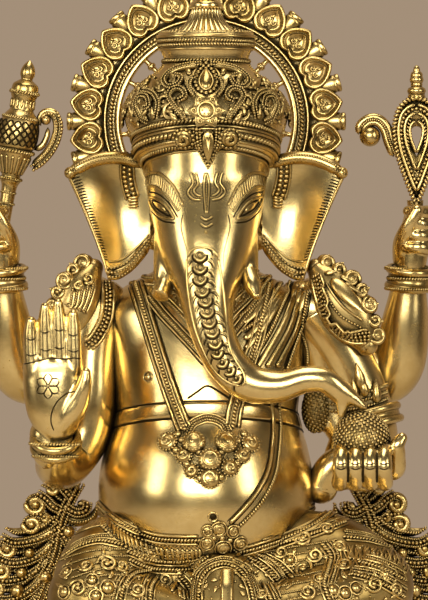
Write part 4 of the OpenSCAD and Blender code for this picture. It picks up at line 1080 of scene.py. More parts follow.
collar = Work()
for z, r, lean in ((348, 1.9, 1), (343.5, 1.7, -1), (339, 1.7, 1)):
    collar.rope(girdle(torso_skin, 0, 4, lambda t: z), r, lean, loop=True)
for path in ([(150, 298), (164, 315), (178, 330), (193, 346), (207, 362)],
             [(264, 296), (250, 312), (236, 330), (222, 346), (207, 362)]):
    laced(collar, traced(path, torso_skin, 0.4), 7.0, 0.9)
for path in (
        [(154, 288), (166, 300), (178, 312), (190, 326)], [(160, 281), (172, 291), (184, 302)],
        [(166, 276), (178, 284), (188, 293)]):
    for p in both(path):
        collar.rope(traced(p, torso_skin, 0.6), 1.5)
        collar.wire(shifted(traced(p, torso_skin, 0.4), 2.4), 0.9)
for k in range(70):
    f = random.random()
    for px in (152 + 34 * f, 2 * CROWN_MIDDLE - (152 + 34 * f)):
        py = 282 + 36 * f - random.uniform(0, 12)
        collar.knob(px, py, torso_skin, random.uniform(0.8, 1.3), 0.9)
collar.done("neck collar", CHASED, ("neck_collar",))


def band_at(t, drop):
    return 244 - drop + 16 * max(-0.2, front(t))


band = Work()
band.strap(girdle(torso_skin, 0, 0, lambda t: band_at(t, 5.5), math.pi / 2), 11, 1.1)
band.done("chest band", POLISHED, ("chest_band",))
# Dark lines at both edges of the chest band: painted shade where it meets the torso.
for drop in (0, 11.4):
    cut_and_shade_lines.wire(girdle(torso_skin, 0, 0, lambda t: band_at(t, drop)), 0.85, loop=True)
cut_and_shade_lines.wire(traced([(187, 399), (197, 392), (207, 386), (218, 391), (230, 399)], torso_skin, 0.2), 0.8)
chest = Work()
chest.knob(148, 377, torso_skin, 2.3, 0.7)
at, n = spot(148, 377, torso_skin)
chest.hoop(at, n, 3.7, 0.6)
chest.done("chest boss", POLISHED)
cut_and_shade_lines.hoop(at + n * 0.1, n, 3.0, 0.35)

shawl = Work()
for path, kind in (([(273, 274), (262, 288), (252, 306), (240, 316)], 1),
                   ([(283, 279), (270, 300), (260, 318), (242, 331)], 1),
                   ([(289, 284), (276, 306), (264, 326), (245, 350)], 0),
                   ([(292, 281), (281, 306), (270, 330), (251, 362)], 1),
                   ([(297, 285), (289, 308), (278, 332), (258, 366)], 0),
                   ([(301, 287), (295, 310), (285, 336), (266, 368)], 0),
                   ([(305, 291), (300, 313), (292, 337), (276, 368)], 0),
                   ([(308, 293), (304, 317), (297, 336), (286, 368)], 1),
                   ([(278, 276), (266, 294), (256, 312), (242, 324)], 0),
                   ([(287, 281), (273, 304), (262, 322), (244, 340)], 0)):
    line = traced(path, body_skin, 0.9)
    if kind:
        shawl.rope(shifted(line, 0, 0.6), 1.7)
        # Dark lines beside each rope: painted shade between the pleats.
        cut_and_shade_lines.beside(line, 2.2, 0.5, -0.5)
    else:
        shawl.strap(line, 4.4, 1.3)
shawl.rope(traced([(300, 331), (305, 341), (308, 352), (308, 362)], body_skin, 0.8), 1.4)
shawl.done("shawl pleats", CHASED, ("shawl_pleats",))

cluster = Work()
arch = traced([(188, 434), (192, 425), (200, 420), (208, 418), (217, 420), (224, 425), (228, 433)],
              torso_skin, 0.8)
for hand in (1, -1):
    cluster.rope(shifted(arch, hand * 1.105), 1.3, hand)
cluster.beside(arch, 2.9, 0.9)
for px, py, r, qx, qy in ((194, 443, 8.2, 201, 436), (226, 443, 8.2, 219, 436), (210, 460, 8.2, 210, 450)):
    at, n = spot(px, py, torso_skin)
    cluster.boss(at + n * 1.4, n, r, 0.55)
    cluster.hoop(at + n * 3.4, n, r * 0.86, 1.1, True)
    cluster.hoop(at + n * 4.6, n, r * 0.58, 1.0)
    up = (spot(qx, qy, torso_skin)[0] - at).normalized()
    cluster.leaf(at + n * 4.6 - up * r * 0.42, up, n, r * 0.95, r * 0.62, 1.9, 2)
for k, (px, py, r) in enumerate(
        ((168, 442, 6.2), (184, 456, 5.2), (192, 471, 4.6), (210, 478, 6.8), (230, 468, 5.4),
         (242, 456, 4.8), (250, 444, 5.8))):
    at, n = spot(px, py, torso_skin)
    cluster.boss(at + n * 0.8, n, r * 1.05, 0.5)
    cluster.curl(at + n * 3.2, n, UP, r * 0.74, 1.2, 1.25, k, 1 if px < 210 else -1, 0.36)
    cluster.hoop(at + n * 1.4, n, r * 1.08, 1.1, True)
for px, py in ((176, 450), (187, 464), (200, 478), (221, 477), (237, 463), (246, 451), (182, 440),
               (238, 441), (199, 452), (221, 452), (203, 466), (217, 466), (186, 446), (234, 448),
               (178, 434), (244, 434)):
    cluster.knob(px, py, torso_skin, 2.8, 0.9, 0.6)
for _ in range(160):
    t, q = random.uniform(0.15, 2.99), random.uniform(0.45, 1)
    cluster.knob(210 + 41 * q * math.cos(t), 436 + 42 * q * math.sin(t), torso_skin,
                 random.uniform(0.7, 1.3), 0.9)
cluster.done("pendant cluster", CHASED, ("pendant",))

thread = Work()
cord = traced([(272, 372), (271, 400), (273, 425), (272, 445), (268, 470), (258, 490), (245, 507),
               (229, 524)], torso_skin, 0.6)
thread.wire(cord, 1.6)
thread.rope(traced([(279, 372), (278, 400), (280, 425), (279, 448), (275, 474), (265, 496), (252, 513),
                    (236, 529)], torso_skin, 0.8), 1.7)
# Dark lines beside the cord: painted shade along its edges.
cut_and_shade_lines.beside(cord, 2.2, 0.45, -0.6)
thread.done("sacred thread", CHASED, ("sacred_thread",))
at, n = spot(213, 517, torso_skin)
# A dark sunk disc in the navel: painted shade of its hollow.
cut_and_shade_lines.boss(at - n * 0.4, n, 2.6, 0.35)
ring = Work()
ring.hoop(at, n, 3.2, 0.8)
ring.done("navel ring", POLISHED)

belt = Work()
waist_skin = skin_of(torso, lap)
FRONTS = [[(96, 502), (112, 518), (130, 529), (155, 538), (180, 540), (199, 540)],
          [(240, 552), (262, 546), (290, 536), (315, 524), (332, 512)]]
for path in FRONTS:
    line = traced(path, waist_skin, 0.8, 14)
    belt.rope(line, 1.9)
    belt.wire(shifted(line, 3.0), 1.2)
    belt.wire(shifted(line, -2.9), 1.2)
for k, r in enumerate((1.4, 1.1, 1.4, 1.7)):
    path = [(px + 1.5 * k, py + 6 + 5.5 * k) for px, py in FRONTS[0]]
    belt.beads(traced(path, waist_skin, 0.4, 14), r, 2.0)
for k in range(24):
    px, py = along(FRONTS[0], 5 * k / 24)
    belt.petal((px + 3, py + 8), (px + 6, py + 24), waist_skin, 3.4, 1.4, 0.3)
for z, r, made in ((178, 2.1, belt.rope), (181.4, 1.4, belt.wire), (174.6, 1.4, belt.wire)):
    made(girdle(torso_skin, 0, 0, lambda t: z, -0.35, math.pi + 0.7), r)
belt.done("waist belt", CHASED, ("waist_belt",))
buckle = Work()
for px, py, r in ((219, 529, 5.6), (208, 531, 4.6), (233, 531, 4.6), (207, 543, 5.0), (240, 543, 5.0),
                  (223, 548, 6.0)):
    at, n = spot(px, py, waist_skin)
    buckle.boss(at + n * 0.8, n, r * 0.85, 0.5)
    buckle.curl(at + n * 2.4, n, UP, r * 0.72, 1.2, 0.8, px * 0.7, 1, 0.36)
    buckle.hoop(at + n * 1.2, n, r * 0.95, 0.8)
for px, py in ((214, 538), (230, 540), (222, 538)):
    buckle.knob(px, py, waist_skin, 2.4, 1.0, 0.5)
buckle.done("belt flower", CHASED, ("belt_flower",))

# Shoulder plates.
PLATES = {
    "left": (1, [(2, -12, 30, 7, 7), (14, -20, 14, 15, 8), (27, -21, -6, 16, 8), (38, -17, -24, 8, 7)]),
    "right": (-1, [(4, -12, 30, 7, 7), (12, -20, 14, 14, 8), (20, -21, -6, 15, 8), (25, -18, -25, 8, 7)])}
plates = {}
for name, (side, rows) in PLATES.items():
    plates[name] = bmesh.new()
    limb(plates[name], rows, 28, 28, BACK, SHOULDER, side)
    for q in (rows[0], rows[-1]):
        ball(plates[name], ((q[0] + SHOULDER[0]) * side, q[1] + SHOULDER[1], q[2] + SHOULDER[2]), q[3],
             (1, 0.95, 1))
shoulder_skin = skin_of(plates["left"], plates["right"], arms["front_left_arm"], arms["front_right_arm"],
                        torso, arms["rear_left_arm"], arms["rear_right_arm"])
relief = Work()
edge = traced([(312, 278), (316, 296), (322, 315), (333, 331), (350, 342), (368, 343)], shoulder_skin, 0.6)
relief.wire(edge, 1.9)
for off, r in ((2.6, 1.5), (5.2, 1.7), (7.8, 1.4)):
    relief.beads(shifted(edge, off, 0.3), r, 1.9)
relief.wire(shifted(edge, 10.2, 0.2), 1.0)
inner = traced([(322, 284), (330, 301), (341, 316), (360, 327)], shoulder_skin, 0.8)
relief.beads(inner, 1.2, 1.9)
relief.wire(traced([(326, 283), (336, 298), (347, 310), (363, 321)], shoulder_skin, 0.7), 1.0)
relief.petal((331, 279), (366, 322), shoulder_skin, 12, 3.0, 1.0, 3)
for side, rows in PLATES.values():
    for k in range(7):
        q = along(rows, 0.1 + 0.46 * k)
        at = Vector(((q[0] + 0.78 * q[3] + SHOULDER[0]) * side, q[1] + SHOULDER[1],
                     q[2] + 0.55 * q[3] + SHOULDER[2]))
        n = Vector((0.35 * side, -1, 0.25)).normalized()
        r = 5.4 if k % 2 else 7.0
        relief.boss(at, n, r, 0.7)
        relief.curl(at + n * 3.4, n, UP, r * 0.9, 1.2, 1.7, 2.2 + k, side, 0.4)
        d = Vector((side * (0.4 + 0.1 * k), -0.2, 0.9 - 0.18 * k)).normalized()
        relief.leaf(at - d * 3, d, n, 11, 10, 3.4)
for px, py, qx, qy in ((340, 276, 352, 285), (356, 283, 366, 300), (343, 283, 362, 296),
                       (362, 300, 373, 305), (364, 309, 376, 324), (368, 322, 380, 331),
                       (371, 334, 378, 339), (324, 274, 338, 273)):
    relief.petal((px, py), (qx, qy), shoulder_skin, 4.4, 1.8, 0.6)
edge = traced([(102, 283), (103, 297), (101, 316), (93, 333), (84, 343)], shoulder_skin, 0.6)
relief.wire(edge, 1.9)
for off, r in ((2.6, 1.5), (5.2, 1.7)):
    relief.beads(shifted(edge, off, 0.3), r, 1.9)
relief.wire(shifted(edge, 7.8, 0.2), 1.2)
for k in range(5):
    path = [(93 - 5 * k, 284 + k), (90 - 5 * k, 297 + 2 * k), (84 - 4.4 * k, 312 - 2 * k)]
    relief.rope(traced(path, shoulder_skin, 0.7), 1.3)
    relief.wire(traced([(x + 2, y + 2) for x, y in path], shoulder_skin, 0.7), 0.9)
for px, py, r, hand in ((69, 274, 5.0, -1), (57, 292, 5.4, -1), (88, 279, 4.0, 1), (79, 285, 3.4, -1)):
    relief.whorl(px, py, shoulder_skin, r, 1.3, 1.5, 120 * hand, hand, 0.42)
relief.done("shoulder relief", CHASED)
for name in plates:
    piece(name + " shoulder plate", plates[name], CHASED, (name + "_shoulder_plate",))

# Lines cut in the raised palm, the sweet, the cupped hand's joints and the armlet; the cupped hand also gets
# dark lines in the gaps between its fingers, painted shade.
hand_skin = skin_of(hands["front_right_hand"])
for path in (
        [(26, 338), (31, 340), (36, 338)], [(26, 354), (31, 356), (37, 354)],
        [(40, 331), (45, 333), (50, 331)], [(40, 349), (46, 351), (51, 349)],
        [(54, 329), (59, 331), (64, 329)], [(54, 347), (60, 349), (65, 347)],
        [(68, 334), (73, 336), (78, 334)], [(68, 350), (74, 352), (79, 350)],
        [(76, 391), (66, 394), (57, 402), (52, 412), (51, 422), (54, 431)],
        [(24, 364), (34, 362), (44, 359.5), (55, 358.5), (66, 359), (74, 358), (81, 359)]):
    cut_and_shade_lines.wire(traced(path, hand_skin, 0.0), 0.5)
for k in range(6):
    t = math.tau * (k + 0.5) / 6
    a, b = math.cos(t), math.sin(t)
    for w in (4, -4):
        petal = [(48, 386), (48 + 8 * a - w * b, 386 + 8 * b + w * a), (48 + 13 * a, 386 + 13 * b)]
        cut_and_shade_lines.wire(traced(petal, hand_skin, 0), 0.5)

GOLDEN_TURN = 2.399963
sweet = Work()
SWEET = Vector((107, -81, 235))
ball(sweet.bm, SWEET, 19.2)
for k in range(560):
    z = 1 - 2 * (k + 0.5) / 560
    t = k * GOLDEN_TURN
    n = Vector((math.sqrt(1 - z * z) * math.cos(t), math.sqrt(1 - z * z) * math.sin(t), z))
    a = n.orthogonal().normalized()
    sweet.grain(SWEET + n * 19.4, a * 1.35, n.cross(a) * 1.35, n * 1.1)
sweet.done("sweet", CHASED, ("sweet",))

cup_skin = skin_of(hands["front_left_hand"])
for px in FINGERS:
    for py in (463, 468):
        cut_and_shade_lines.wire(traced([(px - 5, py), (px, py + 1.5), (px + 5, py)], cup_skin, 0), 0.5)
# Dark lines in the gaps between the fingers: painted shade.
for px in (348, 363, 377):
    cut_and_shade_lines.wire(traced([(px, 452), (px, 466), (px, 483)], cup_skin, 0), 0.8)

leaves = Work()
arm_skin = skin_of(arms["front_left_arm"])
for px, py, qx, qy, w in ((358, 374, 372, 350, 9), (362, 390, 356, 362, 9), (372, 387, 382, 358, 9),
                          (366, 397, 360, 376, 8), (376, 404, 374, 378, 8), (368, 364, 384, 352, 7),
                          (356, 400, 353, 378, 7), (380, 394, 386, 372, 7)):
    leaves.petal((px, py), (qx, qy), arm_skin, w, 3.4, 1.6)
for py in (392, 399, 406):
    leaves.rope(traced([(318, py + 3), (334, py + 5), (352, py + 3), (370, py - 1), (386, py - 7)],
                       arm_skin, 0.8), 1.7)
leaves.done("armlet leaves", CHASED)
# The beaded drop sits in shadow between the arm and the belly; its darker antique finish is painted shade.
drop = Work()
lobe = on_plane(316, 410, -8)
drop.grain(lobe, RIGHT * 9.5, BACK * 8, UP * 16, 3)
for k in range(230):
    t, z = k * 2.4, 0.98 - 1.96 * k / 229
    n = Vector((math.cos(t) * math.sqrt(1 - z * z), math.sin(t) * math.sqrt(1 - z * z), z))
    drop.grain(lobe + Vector((n.x * 9.5, n.y * 8, n.z * 16)), RIGHT * 1.3, BACK * 1.3, UP * 1.3)
drop.done("armlet drop in painted shade", ANTIQUE_AND_SHADE)

# Mace with its curled side leaf, and the noose.
lean = Matrix.Translation((-147, 12, 374)) @ Matrix.Rotation(math.radians(9.5), 4, "Y")
MACE = [(0, -20), (4.4, -20), (4.8, 0), (5, 22), (5.6, 34), (7.2, 38), (7.6, 40), (6.8, 42), (9.5, 50),
        (12, 57), (13, 60), (12.2, 61.5), (13.6, 64), (14.3, 70), (14.3, 76), (13.4, 82), (11.5, 86),
        (10, 88), (8.6, 90), (8.2, 95), (8.8, 98), (9.6, 100.5), (9.8, 104), (9, 108), (6, 110.5),
        (4.2, 112), (5.2, 115), (5.2, 118), (4, 121.5), (1.8, 124.5), (0, 126)]
club = bmesh.new()
lathe(club, MACE, 64, (0, 0, 0), n=150)
bmesh.ops.transform(club, matrix=lean, verts=club.verts)
piece("mace", club, CHASED, ("mace",), 60)
cuts = Work()
mace = Work()


def mace_ring(r, z):
    normals = [Vector((math.cos(t), math.sin(t), 0)) for t in circle[::3]]
    return [(n * r + UP * z, n) for n in normals]


def mace_line(rows, turn, swing):
    line = []
    for k, (r, z) in enumerate(smooth(rows, 12)):
        n = Vector((math.cos(turn + swing * k / 12), math.sin(turn + swing * k / 12), 0))
        line.append((n * r + UP * z, n))
    return line


for k in range(16):
    t = math.tau * k / 16
    for hand in (-1, 1):
        cuts.wire(mace_line([(13.6, 64), (14.4, 70), (14.4, 76), (13.4, 82)], t, hand * 1.2), 0.75)
    mace.wire(mace_line([(6.9, 43), (9.6, 50), (12.2, 57)], t, 0), 1.1)
    mace.wire(mace_line([(8.5, 90.5), (8.3, 95), (8.8, 97.5)], t, 0), 0.9)
for r, z, w in ((13.2, 60, 1.7), (12.4, 84, 1.5), (7.8, 40, 1.3), (9.9, 102.4, 1.6), (5.4, 22, 1.0),
                (5.2, 30, 1.0)):
    mace.rope(mace_ring(r, z), w, loop=True)
for made in (cuts, mace):
    bmesh.ops.transform(made.joined(), matrix=lean, verts=made.open.verts)
cuts.done("mace cuts", GROOVE_AND_SHADE)
mace.done("mace ropes", CHASED)
blade = Work()


def upright(path, y):
    """Photograph points laid on a plane that faces the front."""
    return [(on_plane(*q, y), FACING) for q in smooth(path, 10 * (len(path) - 1))]


hook = [(31, 166), (40, 160), (49, 150), (55, 138), (57, 125), (53, 115), (46, 114), (42, 119), (44, 125)]
for off, r in ((0, 3.4), (2.2, 2.6)):
    blade.wire(shifted(upright(hook, 13), -off), r, 10, 0.8, taper=0.3)
blade.wire(upright([(34, 150), (42, 146), (47, 136), (48, 127)], 13), 2.6, 10, taper=0.3)
blade.boss(on_plane(46, 120, 12), FACING, 3.6, 0.9)
blade.beads(shifted(upright(hook[:6], 10.2), -3.4), 1.4, 1.8)
blade.beads(upright(hook[:7], 9.8), 1.1, 1.8)
blade.done("side leaf of the mace", CHASED, ("axe_blade",))
NOOSE_MIDDLE = 416.5
noose = Work()
DROP = [(0, -42), (-10, -39), (-18, -30), (-22, -14), (-21.5, 0), (-18, 18), (-11, 38), (-4, 56), (0, 64)]


def loop_at(u, v):
    """A drop-shaped plate with a drop-shaped hole."""
    grow, y = ((0.98, 8), (0.28, 8), (0.28, 16), (0.98, 16), (0.98, 8))[round(v * 4)]
    x, up = along(DROP, 16 * min(u, 1 - u))
    return on_plane(NOOSE_MIDDLE + (x if u < 0.5 else -x) * grow, 138 + up * grow, y)


shell(noose.bm, 72, 4, loop_at)
limb(noose.bm, [(149, 12, 350, 4.4), (150, 12, 380, 4.6), (150, 12, 398, 6)], 16, 12, BACK)
tip = on_plane(NOOSE_MIDDLE, 98, 12)
for r, up in ((6.6, 1), (7, 5), (4.4, 9.5), (5.2, 13), (4.6, 16), (2.6, 19.5)):
    noose.grain(tip + UP * up, RIGHT * r, BACK * r, UP * 4, 2)
noose.grain(on_plane(370, 136, 12), RIGHT * 7.6, BACK * 7.6, UP * 7.6, 3)
for hand in (-1, 1):
    def border(grow, foot):
        return upright([(NOOSE_MIDDLE - hand * x * grow, foot + y * grow) for x, y in DROP], 6.8)
    noose.rope(border(1.0, 140), 2.3, hand)
    noose.beads(border(0.7, 138), 1.6, 1.9)
    for grow, foot, r in ((0.82, 139, 1.5), (0.54, 136, 1.3), (0.3, 134, 1.2)):
        noose.wire(border(grow, foot), r)
for k in range(18):
    py = 112 + 3.4 * k
    for hand in (-1, 1):
        reach = along(DROP, 1 + 6.4 * k / 18)[0] * 0.5 * hand
        noose.wire(upright([(NOOSE_MIDDLE - reach * 0.62, py + 4), (NOOSE_MIDDLE - reach, py)], 6.6), 0.7, 5)
volute = [(396, 156), (390, 142), (386, 129), (379, 121), (370, 120), (362, 126), (361, 135)]
for off in (-1.9, 1.9):
    noose.wire(shifted(upright(volute, 10), off), 2.7, 10)
noose.rope(upright(volute[:6], 7.2), 1.2)
noose.done("noose", CHASED, ("noose",))

# Rope rows on the wrist rings.
cuffs = Work()
for node in ("rear_right_bracelet", "rear_left_bracelet", "front_right_bracelet"):
    ring = carried(node)
    xs, ys, zs = zip(*(v.co for v in ring.verts))
    ring_skin = skin_of(ring)
    cx, cy = (min(xs) + max(xs)) / 2, (min(ys) + max(ys)) / 2
    tilt = 0.0 if node.startswith("rear") else 4.0
    for f, r in ((0.16, 1.5), (0.5, 1.7), (0.84, 1.5)):
        z = min(zs) + f * (max(zs) - min(zs))
        cuffs.rope(girdle(ring_skin, cx, cy, lambda t: z - tilt * front(t) * (f - 0.5)), r)
    ring.free()
cuffs.done("wrist ring ropes", CHASED)

# Draped cloth over the lap: ropes, spirals, bosses and hatching.
cloth = Work()
lap_skin = skin_of(lap, carried("apron"), torso)
for path in (
        [(199, 602), (200, 584), (206, 572), (219, 565), (232, 566), (243, 574), (250, 588), (253, 602)],
        [(190, 602), (191, 582), (198, 566), (208, 557)], [(240, 560), (256, 574), (266, 590), (272, 602)],
        [(248, 556), (268, 570), (282, 588), (288, 602)], [(256, 553), (278, 564), (292, 578)],
        [(323, 545), (331, 556), (328, 570), (324, 584), (330, 602)], [(360, 562), (382, 568), (405, 580)],
        [(345, 537), (370, 540), (395, 550), (408, 562)], [(352, 574), (376, 580), (404, 596)],
        [(262, 549), (290, 541), (318, 532), (345, 522)], [(130, 560), (150, 568), (175, 570), (196, 568)],
        [(128, 552), (150, 560), (175, 562), (196, 560)], [(120, 602), (124, 586), (134, 574), (150, 570)],
        [(64, 556), (80, 546), (100, 541), (122, 545)], [(150, 602), (151, 588), (156, 578)],
        [(192, 600), (188, 586), (180, 577)]):
    line = traced(path, lap_skin, 0.6, 10)
    cloth.rope(line, 1.8)
    cloth.beside(line, 2.9, 0.9, -0.3)
    cloth.rope(shifted(line, 5.2, -0.3), 1.2, -1)
    cloth.wire(shifted(line, 7.2, -0.4), 0.8)
PLEATS = [[(58, 548, 2, -2.4), (76, 534, 2, -1.6), (98, 526, 2.4, -1), (118, 524, 2, 0)],
          [(334, 523, 0, -1.6), (360, 518, 0, -1.2), (384, 522, 0, -1.2), (402, 533, 0, -1)]]
for k in range(9):
    for pleat in PLEATS:
        path = [(px + across * k, py + down * k) for px, py, across, down in pleat]
        cloth.wire(traced(path, lap_skin, 0.3), 1.0)
for k in range(14):
    px, py = 347 + 4.2 * k, 546 + 0.8 * k
    cloth.wire(traced([(px, py), (px + 3, py + 13), (px + 6, py + 1)], lap_skin, 0.3, 6), 0.9)
for k in range(12):
    px, py = 246 + 3.6 * k, 561 + 2.6 * k
    cloth.wire(traced([(px, py), (px + 7, py - 5)], lap_skin, 0.3, 6), 0.9)
for px, py, r, hand in ((303, 538, 6.0, 1), (327, 529, 5.4, -1), (315, 555, 5.4, 1), (303, 569, 8.0, -1),
                        (344, 564, 6.4, 1), (340, 547, 4.4, -1), (374, 584, 6.0, 1), (281, 552, 4.6, 1),
                        (107, 564, 6.8, -1), (165, 580, 5.4, 1), (181, 590, 5.0, -1), (138, 590, 5.6, 1),
                        (86, 566, 5.4, 1), (78, 588, 6.0, -1), (308, 592, 6.0, 1), (396, 590, 5.0, -1),
                        (262, 594, 4.6, 1), (122, 566, 4.4, 1)):
    cloth.whorl(px, py, lap_skin, r, 1.4, 1.3, 90, hand, 0.36)
for px, py, r in ((108, 588, 4.4), (333, 590, 3.8), (345, 593, 3.8), (356, 588, 3.4), (92, 580, 3.4),
                  (96, 596, 3.4), (320, 578, 3.2), (290, 560, 3.2), (150, 552, 2.6), (178, 556, 2.6),
                  (66, 572, 3.4), (386, 574, 3.2), (64, 592, 3.6)):
    cloth.knob(px, py, lap_skin, r, 0.7, 0.8)
for k in range(9):
    p = 341 + 7.6 * k
    for a, b in ((p, p + 13), (p + 13, p)):
        cloth.wire(traced([(a, 544 + k), ((a + b) / 2, 559 + k), (b, 575 + k)], lap_skin, 0.3, 6), 0.9)
for k in range(8):
    for path in ([(60 + 4 * k, 560 + 6 * k), (90 + 4 * k, 551 + 6 * k), (124 + 3 * k, 549 + 7 * k)],
                 [(262 + 3 * k, 552 + 7 * k), (300 + 2 * k, 546 + 7 * k), (336, 540 + 7 * k)]):
        cloth.rope(traced(path, lap_skin, 0.2, 10), 1.1, 1 if k % 2 else -1)
cloth.strap(traced([(227, 569), (227, 585), (227, 606)], lap_skin, 0.6), 9, 2.4)
for _ in range(320):
    q = (random.uniform(58, 404), random.uniform(545, 602))
    cloth.knob(*q, lap_skin, random.uniform(0.7, 1.25), 0.8)
for _ in range(90):
    q = (random.uniform(62, 400), random.uniform(548, 600))
    t = random.uniform(0, math.tau)
    cloth.petal(q, (q[0] + 8 * math.cos(t), q[1] + 8 * math.sin(t)), lap_skin, 3.4, 1.4, 0.3)
cloth.done("cloth relief", CHASED)

# Side scrolls: plumes of beaded strands off a stem, with curls and bosses among them.
SCROLLS_MIDDLE = 216
STEM = [(30, 646), (34, 615), (46, 580), (56, 548), (61, 522), (70, 500), (80, 482)]
STRANDS = [
    [(72, 497), (64, 488), (55, 480)], [(65, 511), (54, 506), (46, 498), (38, 493)],
    [(61, 523), (51, 520), (42, 514), (34, 513)], [(61, 524), (48, 534), (32, 540), (14, 542), (2, 536)],
    [(59, 535), (46, 550), (28, 560), (10, 562), (-4, 556)],
    [(55, 550), (42, 566), (24, 577), (4, 580), (-10, 572)],
    [(50, 565), (38, 583), (20, 596), (0, 599), (-14, 590)],
    [(45, 582), (33, 602), (16, 614), (-4, 616), (-14, 608)], [(38, 602), (27, 622), (12, 633), (-2, 634)],
    [(60, 530), (68, 542), (72, 556), (66, 568)], [(52, 560), (60, 574), (62, 588), (54, 598)],
    [(42, 590), (52, 604), (54, 618), (46, 628)], [(66, 506), (76, 512), (86, 510), (88, 502)]]
CURLS = [(54, 488, 6, 1), (36, 504, 10, 1), (32, 524, 9, 1), (8, 548, 9, 1), (2, 570, 9, 1),
         (-4, 588, 9, 1), (-4, 604, 8, 1), (2, 626, 8, 1), (66, 560, 7, -1), (54, 590, 7, -1),
         (46, 620, 7, -1), (83, 508, 6, -1), (46, 517, 4, 1)]
BALLS = [(69, 531, 4.6), (46, 576, 5), (18, 590, 5.4), (30, 552, 4), (22, 572, 4), (30, 612, 4.4),
         (58, 572, 4.2), (20, 606, 4)]
for name, flip in (("right_side_scroll", False), ("left_side_scroll", True)):
    scroll = Work()

    def placed(path, y=33.0):
        return upright(flipped(path, SCROLLS_MIDDLE) if flip else path, y)
    stem = placed(STEM)
    scroll.wire(stem, 6.4, 12, taper=0.4)
    for d in (-3.4, 0, 3.4):
        scroll.rope(shifted(stem, d, 4.4 if d else 5.8), 1.6)
    for k, path in enumerate(STRANDS):
        strand = placed(path, 32.0 + k % 3)
        scroll.wire(strand, 5.8, 12, taper=0.5)
        scroll.beads(shifted(strand, 0, 5.2), 1.5, 1.9)
        for d in (-2.7, 2.7):
            scroll.rope(shifted(strand, d, 4.2), 1.3, 1 if d < 0 else -1)
        back = shifted(strand, 7 if flip else -7)
        scroll.wire([(p + BACK * 2, n) for p, n in back], 5.2, 10, taper=0.5)
        scroll.rope([(p - BACK * 2.6, n) for p, n in back], 1.6)
    for px, py, r, hand in CURLS:
        at = placed([(px, py)] * 2)[0][0]
        scroll.boss(at, FACING, r * 0.8, 0.4)
        scroll.curl(at + FACING * 2, FACING, UP, r * 0.74, 1.2, 2.6, 1.2, -hand if flip else hand, 0.36)
        scroll.hoop(at + FACING * 3.4, FACING, r * 0.74, 0.9, True)
        scroll.boss(at + FACING * 3.0, FACING, r * 0.32, 0.9)
    for px, py, r in BALLS:
        at = placed([(px, py)] * 2)[0][0]
        scroll.boss(at + FACING * 3.6, FACING, r, 1.0)
        scroll.hoop(at + FACING * 2.6, FACING, r + 0.8, 1.0, True)
    scroll.done(name.replace("_", " "), CHASED, (name,))


# Pieces that keep the form of their CAD solid.
for node, finish in (("plinth", POLISHED), ("lotus_seat", POLISHED), ("apron", ANTIQUE_AND_SHADE),
                     ("halo_stud", POLISHED), ("front_right_bracelet", CHASED),
                     ("front_left_bracelet", CHASED), ("rear_right_bracelet", CHASED),
                     ("rear_left_bracelet", CHASED), ("front_left_armlet", CHASED), ("base_bolts", STEEL),
                     ("halo_nut", STEEL)):
    piece(node.replace("_", " "), carried(node), finish, (node,), 35)

# The body, the crown and the halo's rim, after every ornament has been laid on them.
piece("torso", torso, POLISHED, ("torso",))
for name, bm in (arms | hands | ears | tusks | feet).items():
    piece(name.replace("_", " "), bm, POLISHED, (name,))
piece("head and trunk", head, POLISHED, ("head",))
piece("lap", lap, ANTIQUE_AND_SHADE, ("lap",))
for name, bm, node, sharp in (
        ("crown dome", dome, "crown_dome", 50), ("crown pot", pot, "crown_pot", 50),
        ("crown bell", bell, "crown_bell", 60), ("crown finial", finial, "crown_finial", 60),
        ("diadem", diadem, "diadem", 50), ("halo rim", rim, "halo_wheel", 60)):
    piece(name, bm, POLISHED, (node,), sharp)
# The dark lines: cut lines with their patina, and painted shade in creases, gaps and along raised edges.
cut_and_shade_lines.done("dark lines and painted shade", GROOVE_AND_SHADE)

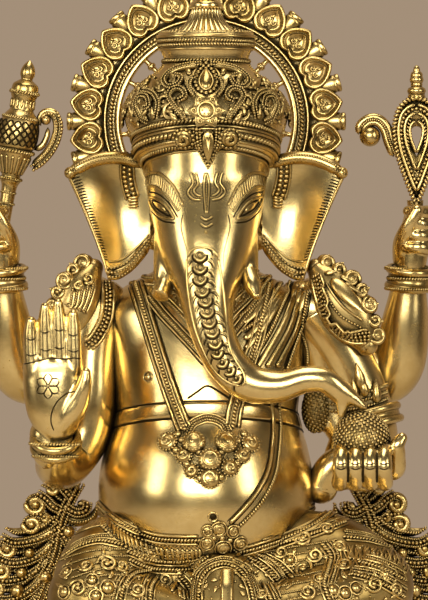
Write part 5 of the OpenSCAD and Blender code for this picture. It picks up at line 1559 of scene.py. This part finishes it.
# Floor, light and camera.
floor = bmesh.new()
bmesh.ops.create_circle(floor, cap_ends=True, segments=96, radius=0.95)
ground = bpy.data.meshes.new("floor")
floor.to_mesh(ground)
floor.free()
f = Finish("pale floor")
f.shade(Base_Color=f.node("ValToRGB", {"stops": [(0.3, (0.56, 0.49, 0.42)), (0.7, (0.61, 0.54, 0.47))]}, {
    0: f.node("TexNoise", {}, {"Vector": f.node("TexCoord", {}, {})[3], "Scale": 3.0})[0]})[0], Roughness=0.7)
ground.materials.append(f.material)
floor = bpy.data.objects.new("floor", ground)
bpy.context.scene.collection.objects.link(floor)

world = bpy.data.worlds.new("studio")
bpy.context.scene.world = world
f = Finish("studio", world)
depth = f.node("SeparateXYZ", {}, {0: f.node("TexCoord", {}, {})[0]})[1]
f.shade(Color=f.node("ValToRGB", {"stops": [(0.44, (0.05, 0.038, 0.025)), (0.74, (0.37, 0.275, 0.19))]}, {
    0: depth * 0.5 + 0.5})[0], Strength=1.0)


def softbox(name, at, aim, wide, tall, power, tint):
    light = bpy.data.lights.new(name, "AREA")
    light.shape = "RECTANGLE"
    light.size = wide
    light.size_y = tall
    light.energy = power
    light.color = tint
    lamp = bpy.data.objects.new(name, light)
    lamp.location = at
    lamp.rotation_euler = (Vector(aim) - Vector(at)).to_track_quat("-Z", "Y").to_euler()
    bpy.context.scene.collection.objects.link(lamp)


softbox("front softbox", (-0.3, -2.2, 0.85), (0, 0, 0.36), 1.5, 0.8, 40, (1.0, 0.97, 0.92))
softbox("left softbox", (-1.5, -0.9, 0.8), (0, 0, 0.33), 0.5, 1.1, 9, (1.0, 0.96, 0.9))
softbox("right softbox", (1.4, -1.2, 0.8), (0, 0, 0.3), 0.5, 1.0, 10, (1.0, 0.96, 0.9))
softbox("top softbox", (0.1, -0.1, 1.8), (0, -0.05, 0.3), 1.2, 0.7, 12, (1.0, 0.97, 0.93))

SENSOR = 36
camera = bpy.data.cameras.new("camera")
camera.sensor_fit = "VERTICAL"
camera.sensor_height = SENSOR
camera.lens = SENSOR * FAR / (PHOTO_TALL * PIXEL)
view = bpy.data.objects.new("camera", camera)
view.location = EYE * MM
view.rotation_euler = (math.pi / 2 - TILT, 0, 0)
bpy.context.scene.collection.objects.link(view)
bpy.context.scene.camera = view
bpy.context.scene.view_settings.view_transform = "Standard"
